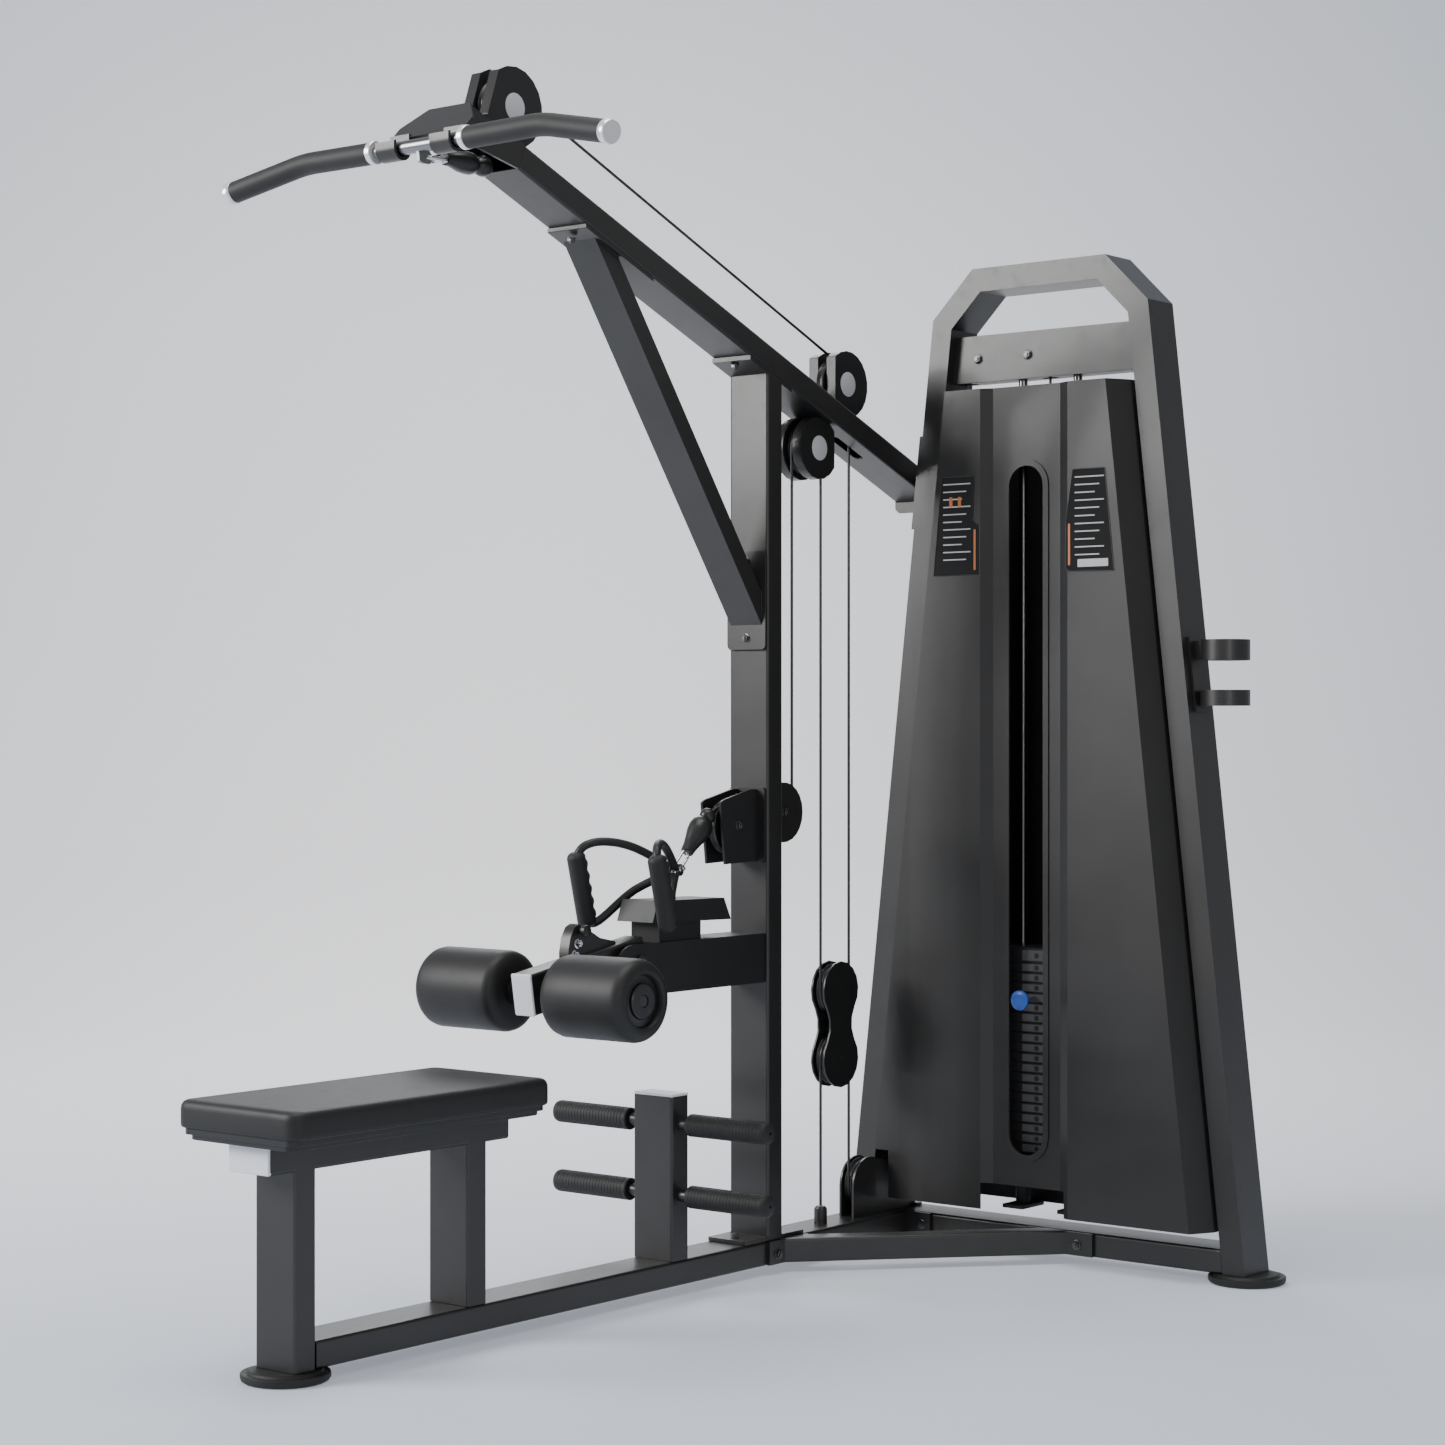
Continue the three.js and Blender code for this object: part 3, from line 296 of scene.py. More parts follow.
@dataclass(frozen=True)
class Finish:
    """How one kind of surface looks, and the record slot it answers to."""

    name: str
    slot: str
    colour: Colour
    shade: Colour
    rough: float
    metal: float = 0.0
    coat: float = 0.0
    grain: float = 900.0
    bump: float = 0.0003
    speck: float = 0.0
    scuff: float = 0.06
    stretch: Point = (1.0, 1.0, 1.0)

    def material(self) -> bpy.types.Material:
        """Build the material, once.

        Returns:
            The material for this finish.
        """
        known = bpy.data.materials.get("look_" + self.name)
        if known:
            return known
        graph = Graph("look_" + self.name)
        broad = graph.noise(5.0, 4.0).step(0.3, 0.7)
        fine = graph.noise(self.grain, 2.0, self.stretch)
        colour = graph.mix(broad, self.colour, self.shade)
        if self.speck:
            sparkle = graph.noise(2600.0, 1.0).step(0.62, 0.74)
            bright = tuple(min(1.0, c * 3.0 + 0.02) for c in self.colour)
            colour = graph.mix(sparkle * self.speck, colour, bright)
        worn = graph.noise(38.0, 6.0).step(0.55, 0.8)
        graph.feed(graph.shader.inputs["Base Color"], colour)
        graph.feed(graph.shader.inputs["Roughness"], self.rough + worn * self.scuff + fine * 0.05)
        graph.feed(graph.shader.inputs["Metallic"], self.metal)
        graph.feed(graph.shader.inputs["Coat Weight"], self.coat)
        graph.feed(graph.shader.inputs["Coat Roughness"], 0.12)
        lift = graph.node("Bump", Height=fine, Strength=0.5, Distance=self.bump)
        graph.feed(graph.shader.inputs["Normal"], Sock(graph, lift.outputs[0]))
        return graph.material


def grey(value: float) -> Colour:
    """Make a neutral colour.

    Args:
        value: how bright it is.
    Returns:
        The colour.
    """
    return (value, value, value)


PAINT = Finish("charcoal_paint", "frame_paint", (0.052, 0.051, 0.050), (0.060, 0.059, 0.058), 0.36, 0.75, 0.1, 700,
               0.0002, 0.25)
SHROUD = Finish("shroud_paint", "shroud_paint", (0.042, 0.041, 0.040), (0.049, 0.048, 0.047), 0.40, 0.65, 0.1, 800,
                0.0002, 0.2)
# Lighter copy of the plate paint, laid on the plate fronts as painted highlight where they face the light.
PLATE_HIGHLIGHT = Finish("plate_painted_highlight", "plate_paint", grey(0.075), grey(0.09), 0.5, 0.1, 0.0, 1200, 0.0004)
PLATE = Finish("plate_paint", "plate_paint", (0.010, 0.010, 0.011), (0.016, 0.016, 0.017), 0.5, 0.1, 0.0, 1200,
               0.0004)
STEEL = Finish("bare_steel", "bare_steel", (0.50, 0.51, 0.53), (0.60, 0.61, 0.62), 0.24, 1.0, 0.0, 1500, 0.0001)
BAR = Finish("bar_steel", "chrome", (0.22, 0.22, 0.23), (0.28, 0.28, 0.29), 0.26, 1.0, 0.0, 1500, 0.0001)
# Black paint, darker than the frame paint whose slot it shares: partly these parts' own black colour, partly painted
# shade for their faces that turn away from the light.
BLACK_AND_SHADE = Finish("black_paint_and_shade", "frame_paint", grey(0.008), grey(0.011), 0.45, 0.0, 0.0, 700, 0.0002, 0.1)
FIXING = Finish("bolt_steel", "bare_steel", grey(0.10), grey(0.14), 0.3, 1.0, 0.0, 1500, 0.0001)
CHROME = Finish("chrome", "chrome", (0.72, 0.73, 0.75), (0.64, 0.65, 0.67), 0.09, 1.0, 0.0, 300, 0.00003, 0.0, 0.04)
PLASTIC = Finish("black_plastic", "black_plastic", grey(0.007), grey(0.010), 0.36, 0.0, 0.1, 1600, 0.0002)
RUBBER = Finish("rubber", "rubber", grey(0.008), grey(0.012), 0.56, 0.0, 0.0, 1300, 0.0005)
FOAM = Finish("foam", "upholstery", grey(0.007), grey(0.010), 0.50, 0.0, 0.0, 420, 0.0004)
VINYL = Finish("vinyl", "upholstery", grey(0.006), grey(0.009), 0.52, 0.0, 0.0, 520, 0.0005)
THREAD = Finish("thread", "upholstery", (0.030, 0.030, 0.031), (0.04, 0.04, 0.041), 0.7, 0.0, 0.0, 2500, 0.0004)
SHEATH = Finish("cable_sheath", "cable_coat", (0.010, 0.010, 0.011), (0.016, 0.016, 0.017), 0.28, 0.0, 0.3, 600,
                0.0001)
BLUE = Finish("blue_knob", "blue_plastic", (0.015, 0.075, 0.36), (0.02, 0.10, 0.45), 0.3, 0.0, 0.3, 900, 0.0002)
LABEL = Finish("label_grey", "frame_paint", (0.46, 0.46, 0.47), (0.52, 0.52, 0.53), 0.45, 0.0, 0.0, 500, 0.0001)
TRIM = Finish("trim_silver", "bare_steel", (0.82, 0.82, 0.83), (0.88, 0.88, 0.89), 0.28, 0.6, 0.2, 500, 0.0001)
WHITE = Finish("cap_grey", "frame_paint", (0.78, 0.79, 0.82), (0.84, 0.85, 0.88), 0.4, 0.0, 0.1, 500, 0.0001)
CARD = Finish("placard_dark", "shroud_paint", grey(0.003), grey(0.004), 0.85, 0.0, 0.0, 500, 0.0001)
# Chrome darkened to stand for the dark tower interior that the guide rods reflect: painted dark reflection.
ROD = Finish("guide_rod_painted_dark_reflection", "chrome", (0.20, 0.20, 0.21), (0.26, 0.26, 0.27), 0.18, 1.0, 0.0, 300, 0.00003, 0.0,
             0.04)
ORANGE = Finish("placard_orange", "shroud_paint", (0.50, 0.13, 0.02), (0.58, 0.16, 0.03), 0.4, 0.0, 0.2, 500, 0.0001)


# --- mesh code
def arc(cx: float, cy: float, r: float, start: float, stop: float, steps: int) -> list[Pair]:
    """Points of an arc.

    Args:
        cx: centre, first coordinate.
        cy: centre, second coordinate.
        r: radius.
        start: first angle in degrees.
        stop: last angle in degrees.
        steps: number of segments.
    Returns:
        The points in order.
    """
    turns = [math.radians(start + (stop - start) * i / steps) for i in range(steps + 1)]
    return [(cx + r * math.cos(t), cy + r * math.sin(t)) for t in turns]


def round_rect(x0: float, x1: float, y0: float, y1: float, r: float, steps: int = 6) -> list[Pair]:
    """A rectangle with rounded corners, counter-clockwise.

    Args:
        x0: low side.
        x1: high side.
        y0: low end.
        y1: high end.
        r: corner radius.
        steps: segments for each corner.
    Returns:
        The outline's points.
    """
    corners = [(x1 - r, y1 - r, 0), (x0 + r, y1 - r, 90), (x0 + r, y0 + r, 180), (x1 - r, y0 + r, 270)]
    return [p for cx, cy, a in corners for p in arc(cx, cy, r, a, a + 90, steps)]


@dataclass
class Form:
    """A mesh in the making, in machine millimetres."""

    verts: list[Vector] = field(default_factory=list)
    faces: list[tuple[int, ...]] = field(default_factory=list)

    def rings(self, rows: Sequence[Sequence[Vector]], caps: bool = True, closed: bool = False) -> "Form":
        """Skin a row of rings that have the same number of points.

        Args:
            rows: the rings in order.
            caps: close both ends.
            closed: join the last ring to the first.
        Returns:
            This form.
        """
        base, n = len(self.verts), len(rows[0])
        for row in rows:
            self.verts.extend(row)
        for i in range(len(rows) - (0 if closed else 1)):
            a, b = base + i * n, base + ((i + 1) % len(rows)) * n
            self.faces.extend((a + k, a + (k + 1) % n, b + (k + 1) % n, b + k) for k in range(n))
        if caps and not closed:
            self.faces.append(tuple(base + k for k in reversed(range(n))))
            self.faces.append(tuple(base + (len(rows) - 1) * n + k for k in range(n)))
        return self

    def turned(self, axis: Axis, middle: Point, profile: Sequence[Pair], sides: int = 48,
               hollow: bool = False) -> "Form":
        """Turn a profile of (radius, distance along) about an axis.

        Args:
            axis: the axis.
            middle: point the distances count from.
            profile: radii and distances.
            sides: segments round.
            hollow: the profile is a closed ring round a bore.
        Returns:
            This form.
        """
        along = Vector(axis.value)
        side = Vector((axis.value[2], axis.value[0], axis.value[1]))
        other = along.cross(side)
        turns = [2 * math.pi * k / sides for k in range(sides)]
        rows = [[Vector(middle) + along * d + (side * math.cos(t) + other * math.sin(t)) * r for t in turns]
                for r, d in profile]
        return self.rings(rows, caps=not hollow, closed=hollow)

    def swept(self, path: Sequence[Vector], radius: Callable[[float, float], float], sides: int = 20,
              closed: bool = False) -> "Form":
        """Carry a round section along a path.

        Args:
            path: the middle line.
            radius: gives the radius for a share of the way and an angle.
            sides: segments round.
            closed: the path is a loop.
        Returns:
            This form.
        """
        rows, side, n = [], None, len(path)
        for i, p in enumerate(path):
            before = path[i - 1] if closed or i else p
            after = path[(i + 1) % n] if closed or i < n - 1 else p
            along = (after - before).normalized()
            if side is None:
                side = Vector((0, 0, 1)) if abs(along.z) < 0.8 else Vector((0, 1, 0))
            side = (side - along * side.dot(along)).normalized()
            other = along.cross(side)
            row = []
            for k in range(sides):
                t = 2 * math.pi * k / sides
                row.append(p + (side * math.cos(t) + other * math.sin(t)) * radius(i / max(1, n - 1), t))
            rows.append(row)
        return self.rings(rows, closed=closed)

    def slab(self, place: Callable[[float, float, float], Vector], outline: Sequence[Pair],
             layers: Sequence[Pair]) -> "Form":
        """Stack copies of an outline, each drawn in by an inset.

        Args:
            place: turns (u, v, height) into a point.
            outline: points round the slab.
            layers: (inset, height) of each copy.
        Returns:
            This form.
        """
        n = len(outline)
        rows = []
        for inset, height in layers:
            row = []
            for k, (u, v) in enumerate(outline):
                (a, b), (c, d) = outline[k - 1], outline[(k + 1) % n]
                du, dv = c - a, d - b
                size = math.hypot(du, dv) or 1.0
                row.append(place(u - inset * dv / size, v + inset * du / size, height))
            rows.append(row)
        return self.rings(rows)

    def build(self, name: str, finish: Finish, sharp: float = 35.0) -> bpy.types.Object:
        """Make the Blender object.

        Args:
            name: object name.
            finish: its finish.
            sharp: edges over this many degrees stay sharp.
        Returns:
            The object, in the row frame.
        """
        mesh = bpy.data.meshes.new(name)
        mesh.from_pydata([at(*v) for v in self.verts], [], self.faces)
        mesh.validate()
        shape = bpy.data.objects.new(name, mesh)
        bpy.context.scene.collection.objects.link(shape)
        tidy_normals(mesh)
        mesh.shade_smooth()
        mesh.set_sharp_from_angle(angle=math.radians(sharp))
        mesh.materials.append(finish.material())
        return shape


def tidy_normals(mesh: bpy.types.Mesh) -> None:
    """Turn all faces of a mesh outwards.

    Args:
        mesh: the mesh.
    """
    work = bmesh.new()
    work.from_mesh(mesh)
    bmesh.ops.recalc_face_normals(work, faces=work.faces)
    work.to_mesh(mesh)
    work.free()


def put(shape: bpy.types.Object, body: str, finish: Finish, *nodes: str) -> bpy.types.Object:
    """Fix a piece to a body and say what it stands for.

    Args:
        shape: the piece.
        body: CAD body it rides on.
        finish: its finish, which names the record slot; not used.
        nodes: CAD nodes it replaces.
    Returns:
        The piece.
    """
    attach(shape, body)
    if nodes:
        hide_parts(*nodes)
    print("piece", shape.name, "on", body, "for", nodes or "trim")
    return shape


def smooth_group(angle: int) -> bpy.types.NodeTree:
    """Node group that smooths a mesh but keeps edges over an angle sharp.

    Args:
        angle: the angle in degrees.
    Returns:
        The geometry node group.
    """
    known = bpy.data.node_groups.get(f"smooth_by_{angle}")
    if known:
        return known
    tree = bpy.data.node_groups.new(f"smooth_by_{angle}", "GeometryNodeTree")
    tree.interface.new_socket("Geometry", in_out="INPUT", socket_type="NodeSocketGeometry")
    tree.interface.new_socket("Geometry", in_out="OUTPUT", socket_type="NodeSocketGeometry")
    start, stop = tree.nodes.new("NodeGroupInput"), tree.nodes.new("NodeGroupOutput")
    faces, edges = tree.nodes.new("GeometryNodeSetShadeSmooth"), tree.nodes.new("GeometryNodeSetShadeSmooth")
    edges.domain = "EDGE"
    edges.inputs["Shade Smooth"].default_value = False
    measure = tree.nodes.new("GeometryNodeInputMeshEdgeAngle")
    compare = tree.nodes.new("FunctionNodeCompare")
    compare.operation = "GREATER_THAN"
    compare.inputs[1].default_value = math.radians(angle)
    link = tree.links.new
    link(start.outputs[0], faces.inputs["Geometry"])
    link(faces.outputs[0], edges.inputs["Geometry"])
    link(measure.outputs[0], compare.inputs[0])
    link(compare.outputs[0], edges.inputs["Selection"])
    link(edges.outputs[0], stop.inputs[0])
    return tree


@dataclass(frozen=True)
class Dressed:
    """CAD nodes that keep their own shape, with rounded edges and a finish."""

    nodes: tuple[str, ...]
    finish: Finish
    edge: float = 1.2
    crease: int = 34

    def dress(self) -> None:
        """Add the modifiers and the finish to each node."""
        for name in self.nodes:
            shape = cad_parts[name]
            shape.data.materials.clear()
            shape.data.materials.append(self.finish.material())
            weld = shape.modifiers.new("weld", "WELD")
            weld.merge_threshold = 0.00002
            flat = shape.modifiers.new("flat", "DECIMATE")
            flat.decimate_type = "DISSOLVE"
            flat.angle_limit = math.radians(1.0)
            if self.edge:
                bevel = shape.modifiers.new("edges", "BEVEL")
                bevel.width = self.edge * 0.001
                bevel.segments = 2
                bevel.limit_method = "ANGLE"
                bevel.angle_limit = math.radians(38)
                bevel.miter_outer = "MITER_ARC"
            smooth = shape.modifiers.new("smooth", "NODES")
            smooth.node_group = smooth_group(self.crease)
            shape.modifiers.new("weighted", "WEIGHTED_NORMAL").keep_sharp = True
            print("dressed", name, "in", self.finish.name)


# --- sub-assemblies
@dataclass(frozen=True)
class Wheel:
    """A cable wheel with a rim groove, a recessed web and a hub."""

    node: str
    axis: Axis = Axis.X
    run: float = 50.0

    def build(self) -> None:
        """Turn the wheel and its bearing."""
        middle = tuple((centre(self.node) - ORIGIN) * 1000)
        r = self.run
        half = [(6.1, 9.0), (13.0, 9.0), (14.0, 8.2), (14.5, 5.4), (r * 0.72, 5.4), (r * 0.77, 8.0), (r * 0.8, 8.8),
                (r + 3.4, 8.8), (r + 4.4, 7.8), (r + 4.0, 6.4), (r + 0.3, 3.4), (r - 1.2, 1.6)]
        profile = half + [(a, -b) for a, b in reversed(half)]
        rim = Form().turned(self.axis, middle, profile, 64, hollow=True).build("pulley_" + self.node, PLASTIC)
        put(rim, self.node, PLASTIC, self.node)
        web = Form()
        for s in (-1, 1):
            for k in range(6):
                turn = 2 * math.pi * k / 6
                side = Vector((self.axis.value[2], self.axis.value[0], self.axis.value[1]))
                other = Vector(self.axis.value).cross(side)
                spot = Vector(middle) + (side * math.cos(turn) + other * math.sin(turn)) * r * 0.5
                web.turned(self.axis, tuple(spot), [(4.6, s * 5.2), (4.6, s * 6.4), (3.6, s * 6.9)], 16)
        put(web.build("studs_" + self.node, PLASTIC), self.node, PLASTIC)


@dataclass(frozen=True)
class Bolts:
    """Hexagon bolt heads on one body."""

    name: str
    body: str
    heads: tuple[tuple[Point, Axis, int], ...]
    r: float = 8.6
    finish: Finish = FIXING

    def build(self) -> None:
        """Make a washer, a head and a stud tip for each bolt."""
        washers, hexes = Form(), Form()
        for middle, axis, s in self.heads:
            washers.turned(axis, middle, [(self.r * 1.25, 0.0), (self.r * 1.25, s * 1.2), (self.r * 1.15, s * 1.6)],
                           28)
            hexes.turned(axis, middle, [(self.r, s * 1.5), (self.r, s * 6.2), (self.r * 0.86, s * 7.2)], 6)
            hexes.turned(axis, middle, [(self.r * 0.55, s * 7.0), (self.r * 0.55, s * 9.2),
                                        (self.r * 0.45, s * 9.8)], 16)
        put(washers.build(self.name + "_washers", self.finish), self.body, self.finish)
        put(hexes.build(self.name + "_heads", self.finish, 25.0), self.body, self.finish)


@dataclass(frozen=True)
class Discs:
    """Pale round labels on the pulley covers."""

    spots: tuple[Pair, ...]
    face: float = 35.0
    r: float = 26.0

    def build(self) -> None:
        """Lay one disc on each side of each cover."""
        form = Form()
        for y, z in self.spots:
            for s in (-1, 1):
                profile = [(self.r, s * (self.face - 0.4)), (self.r, s * (self.face + 0.6)),
                           (self.r - 1, s * (self.face + 1))]
                form.turned(Axis.X, (0, y, z), profile, 48)
        put(form.build("cover_labels", LABEL), "frame", LABEL)


@dataclass(frozen=True)
class SeatPad:
    """The stuffed seat with its piping."""

    x: float = 152.0
    y0: float = -1423.0
    y1: float = -785.0
    z0: float = 434.4
    thick: float = 48.0
    corner: float = 30.0
    seam_draw: float = 0.985
    seam_up: float = 1.6

    def build(self) -> None:
        """Stack the pad's outlines and sew the piping on."""
        outline = round_rect(-self.x, self.x, self.y0, self.y1, self.corner, 10)
        layers = [(6, 0), (2, 1.0), (0.4, 3.5), (0, 8), (0, 20), (0.1, 32), (0.9, 37), (2.8, 41.4), (6, 44.8),
                  (10.5, 46.8), (16, 47.7), (27, self.thick)]
        pad = Form().slab(lambda u, v, h: Vector((u, v, self.z0 + h)), outline, layers)
        shape = pad.build("seat_pad", VINYL, 60)
        put(shape, "frame", VINYL, "seat_cushion")
        draw, middle = self.seam_draw, (self.y0 + self.y1) / 2
        line = [Vector((u * draw, v + (draw - 1) * (v - middle), self.z0 + self.seam_up)) for u, v in outline]
        put(Form().swept(line, lambda s, t: 1.8, 12, closed=True).build("seat_seam", THREAD), "frame", THREAD)


@dataclass(frozen=True)
class Roller:
    """A foam thigh roller."""

    node: str
    body: str
    side: int
    r: float = 77.5
    y: float = -660.0
    z: float = 618.0

    def build(self) -> None:
        """Turn the foam and its hub."""
        r = self.r
        profile = [(12, 61.5), (50, 61.5), (62, 62.5), (70, 66), (75, 72), (r, 81), (r, 120), (r, 200), (r, 240),
                   (75.4, 249), (71, 256), (64, 260.5), (56, 262.5), (51, 261), (48.5, 256), (48, 249), (12, 249)]
        turned = [(a, self.side * b) for a, b in profile]
        foam = Form().turned(Axis.X, (0, self.y, self.z), turned, 72, hollow=True).build("foam_" + self.node, FOAM)
        put(foam, self.body, FOAM, self.node)
        hub = [(12, 248.5), (47.5, 248.5), (47, 251), (36, 251), (34, 252), (33, 257), (30.5, 259), (18, 259.4),
               (12, 259.4)]
        cap = Form().turned(Axis.X, (0, self.y, self.z), [(a, self.side * b) for a, b in hub], 48, hollow=True)
        put(cap.build("hub_" + self.node, PLASTIC), self.body, PLASTIC)


@dataclass(frozen=True)
class PegGrip:
    """A rubber grip on a foot peg."""

    node: str
    side: int
    z: float
    y: float = -304.0

    def build(self) -> None:
        """Turn the grip with its ribs."""
        profile = [(13.4, 76.0), (20.5, 76.4), (22.3, 78.5), (22.3, 84)]
        for k in range(22):
            x = 88 + k * 8.0
            profile += [(22.3, x - 2.2), (21.5, x - 1.4), (21.5, x + 1.4), (22.3, x + 2.2)]
        profile += [(22.3, 264), (21, 269), (17, 272.5), (10, 274), (3, 274.2), (3, 263.2), (13.4, 263.2)]
        turned = [(a, self.side * b) for a, b in profile]
        grip = Form().turned(Axis.X, (0, self.y, self.z), turned, 36, hollow=True)
        put(grip.build("rubber_" + self.node, RUBBER), "frame", RUBBER, self.node)


@dataclass(frozen=True)
class PullBar:
    """The pulldown bar with its grips, collars, caps and hanging link."""

    y: float = -978.0
    z: float = 2167.0
    r: float = 13.0
    body: str = "lat_bar"

    def path(self, side: int, start: float, stop: float, steps: int = 10) -> list[Vector]:
        """Middle line of half the bar.

        Args:
            side: -1 or 1.
            start: first distance from the middle.
            stop: last distance from the middle.
            steps: points in the bend.
        Returns:
            Points in order outwards.
        """
        points = [(start, 0.0, 0.0)] + [(start + (275 - start) * k / 12, 0, k / 12) for k in range(1, 13)]
        points += [(275 + 50 * k / steps, -3.7 * (k / steps) ** 2, 1 - 5.6 * (k / steps) ** 2)
                   for k in range(1, steps + 1)]
        points += [(x, -26 * (x - 300) / 174, 1 - 39 * (x - 300) / 174)
                   for x in [325 + (stop - 325) * k / 12 for k in range(1, 13)]]
        return [Vector((side * x, self.y + dy, self.z + dz)) for x, dy, dz in points]

    def build(self) -> None:
        """Sweep the bar and its fittings."""
        right, left = self.path(1, 0, 474), self.path(-1, 0, 474)
        tube = Form().swept([*reversed(left[1:]), *right], lambda s, t: self.r, 28)
        plate = [(self.y - 7, self.z - 6), (self.y - 4, self.z - 28), (self.y + 2, self.z - 31),
                 (self.y + 22, self.z - 31), (self.y + 27, self.z - 27), (self.y + 27, self.z - 13),
                 (self.y + 22, self.z - 8), (self.y + 8, self.z - 2)]
        tube.slab(lambda u, v, h: Vector((h, u, v)), plate, [(1, -4), (0, -3), (0, 3), (1, 4)])
        put(tube.build("bar_tube", BAR), self.body, BAR, "lat_bar")
        ends = Form()
        for s in (-1, 1):
            ends.turned(Axis.X, (0, self.y, self.z + 0.4),
                        [(20.6, s * 109.6), (21.8, s * 111), (21.8, s * 121), (20.6, s * 122.2)], 40)
            ends.swept([self.path(s, 0, x)[-1] for x in (465, 467, 478, 481)],
                       lambda f, t: 21.8 if 0.2 < f < 0.8 else 20.4, 32)
        put(ends.build("bar_end_caps", TRIM), self.body, TRIM)
        for s, node in ((-1, "lat_grip_left"), (1, "lat_grip_right")):
            line = self.path(s, 122.4, 464.4)
            fine = [line[0].lerp(line[12], k / 40) for k in range(40)] + line[12:]
            grip = Form().swept(fine, lambda f, t: 20.5, 40)
            put(grip.build("rubber_" + node, RUBBER), self.body, RUBBER, node)
        self.build_link()

    def build_link(self) -> None:
        """Turn the cable stopper and bend the link that holds the bar."""
        z, y0 = self.z - 20, -815.0
        bottle = [(2, 20), (9, 19.6), (14, 15), (18, 8), (19.2, 0), (18, -7), (14.5, -13), (10.5, -17), (12, -20),
                  (17.5, -25), (20.6, -34), (20.8, -44), (19, -62), (14.5, -80), (13, -86), (12.4, -98), (10, -99.5)]
        form = Form().turned(Axis.Y, (0, y0, z + 6), bottle, 40)
        put(form.build("stopper_sleeve", PLASTIC), self.body, PLASTIC, "lat_connector")
        oval = [Vector((x, y, z)) for y, x in [*arc(y0 - 114, 0, 13, -90, 90, 14),
                                               *arc(self.y + 26, 0, 11, 90, 270, 14)]]
        link = Form().swept(oval, lambda s, t: 3.6, 16, closed=True)
        link.turned(Axis.X, (0, y0 - 114, z + 3), [(7.5, -9.5), (8, -9), (8, 9), (7.5, 9.5)], 28)
        link.turned(Axis.Y, (-12, (y0 + self.y) / 2 - 46, z), [(5.4, -13), (5.8, -12), (5.8, 12), (5.4, 13)], 20)
        put(link.build("bar_link", CHROME), self.body, CHROME)


@dataclass(frozen=True)
class RowHandle:
    """The parked double row handle and its coupling."""

    apex: Pair = (-268.0, 835.0)
    lean: float = 14.0
    loop_r: float = 8.6
    grip_end_r: float = 9.5
    grip_swell: float = 9.0
    finger_rise: float = 4.6
    finger_dip: float = 4.4
    fingers: int = 6
    body: str = "row_handle"

    def spot(self, side: int, along: float, up: float) -> Vector:
        """A point of the handle.

        Args:
            side: -1 or 1.
            along: from the apex to the grips.
            up: up the grip.
        Returns:
            The point in machine millimetres.
        """
        reach, tilt = along / 187, math.radians(self.lean)
        return Vector((side * (7 + 97 * reach), self.apex[0] - 157 * reach - up * math.sin(tilt),
                       self.apex[1] - 30 * reach + up * math.cos(tilt)))

    def build(self) -> None:
        """Bend the loops, mould the grips and bolt the plates."""
        loops, grips, plates = Form(), Form(), Form()
        corners = [(0, 4), (36, 38), (80, 68), (130, 84), (166, 82), (184, 66), (187, 44), (187, -62), (184, -76),
                   (166, -79), (92, -31), (60, -20), (0, -4)]
        for s in (-1, 1):
            line = [self.spot(s, *p) for p in rounded(corners, 5)]
            loops.swept(line, lambda f, t: self.loop_r, 20)
            grip = [self.spot(s, 187, 70 - 152 * k / 76) for k in range(77)]
            grips.swept(grip, self.moulded, 32)
            a, b = self.apex
            lo, hi = (5, 11) if s > 0 else (-11, -5)
            plates.slab(lambda u, v, h: Vector((h, u, v)), round_rect(a - 22, a + 22, b - 12, b + 12, 9, 8),
                        [(0.8, lo), (0, lo + 0.8), (0, hi - 0.8), (0.8, hi)])
        put(loops.build("handle_loops", BLACK_AND_SHADE), self.body, BLACK_AND_SHADE, "row_handle")
        put(grips.build("handle_grips", RUBBER, 70), self.body, RUBBER)
        put(plates.build("handle_plates", PLASTIC), self.body, PLASTIC)
        heads = tuple(((s * 11, self.apex[0] + dy, self.apex[1] + dz), Axis.X, s) for s in (-1, 1)
                      for dy, dz in ((13, 3), (-13, -4)))
        Bolts("handle_bolt", self.body, heads, 5.5, CHROME).build()
        self.build_coupling()

    def moulded(self, f: float, t: float) -> float:
        """Radius of the grip with its finger grooves.

        Args:
            f: share of the way down the grip.
            t: angle round it.
        Returns:
            The radius.
        """
        ends = max(0.0, min(1.0, f / 0.06, (1 - f) / 0.06))
        wave = 0.5 - 0.5 * math.cos(f * self.fingers * 2 * math.pi)
        palm = self.grip_end_r + self.grip_swell * ends ** 0.5
        return palm + (self.finger_rise - self.finger_dip * wave) * ends * max(0.0, math.cos(t)) ** 1.3

    def build_coupling(self) -> None:
        """Turn the ball and sleeve and bend the link."""
        ball, foot = Vector((0, -159, 940)), Vector((0, -226, 867))
        along = (foot - ball).normalized()
        form = Form().swept([ball + Vector((0, math.cos(a), math.sin(a))) * -0.01 + along * (16 * -math.cos(a))
                             for a in [math.pi * k / 16 for k in range(17)]],
                            lambda f, t: max(0.4, 16 * math.sin(math.pi * f)), 28)
        steps = [(0, 12), (4, 17), (12, 22.5), (24, 24.5), (38, 23), (54, 18.5), (72, 14.5), (86, 13), (88, 11)]
        form.swept([ball + along * (10 + d) for d, _ in steps], lambda f, t: steps[round(f * 8)][1], 28)
        put(form.build("row_sleeve", PLASTIC), self.body, PLASTIC, "row_connector")
        near, far = ball + along * 105, Vector((0, self.apex[0] + 12, self.apex[1] + 2))
        turn = math.degrees(math.atan2(far.z - near.z, far.y - near.y))
        oval = [*arc(far.y, far.z, 9.5, turn - 90, turn + 90, 12),
                *arc(near.y, near.z, 9.5, turn + 90, turn + 270, 12)]
        link = Form().swept([Vector((0, y, z)) for y, z in oval], lambda s, t: 3.0, 14, closed=True)
        put(link.build("row_link", CHROME), self.body, CHROME)


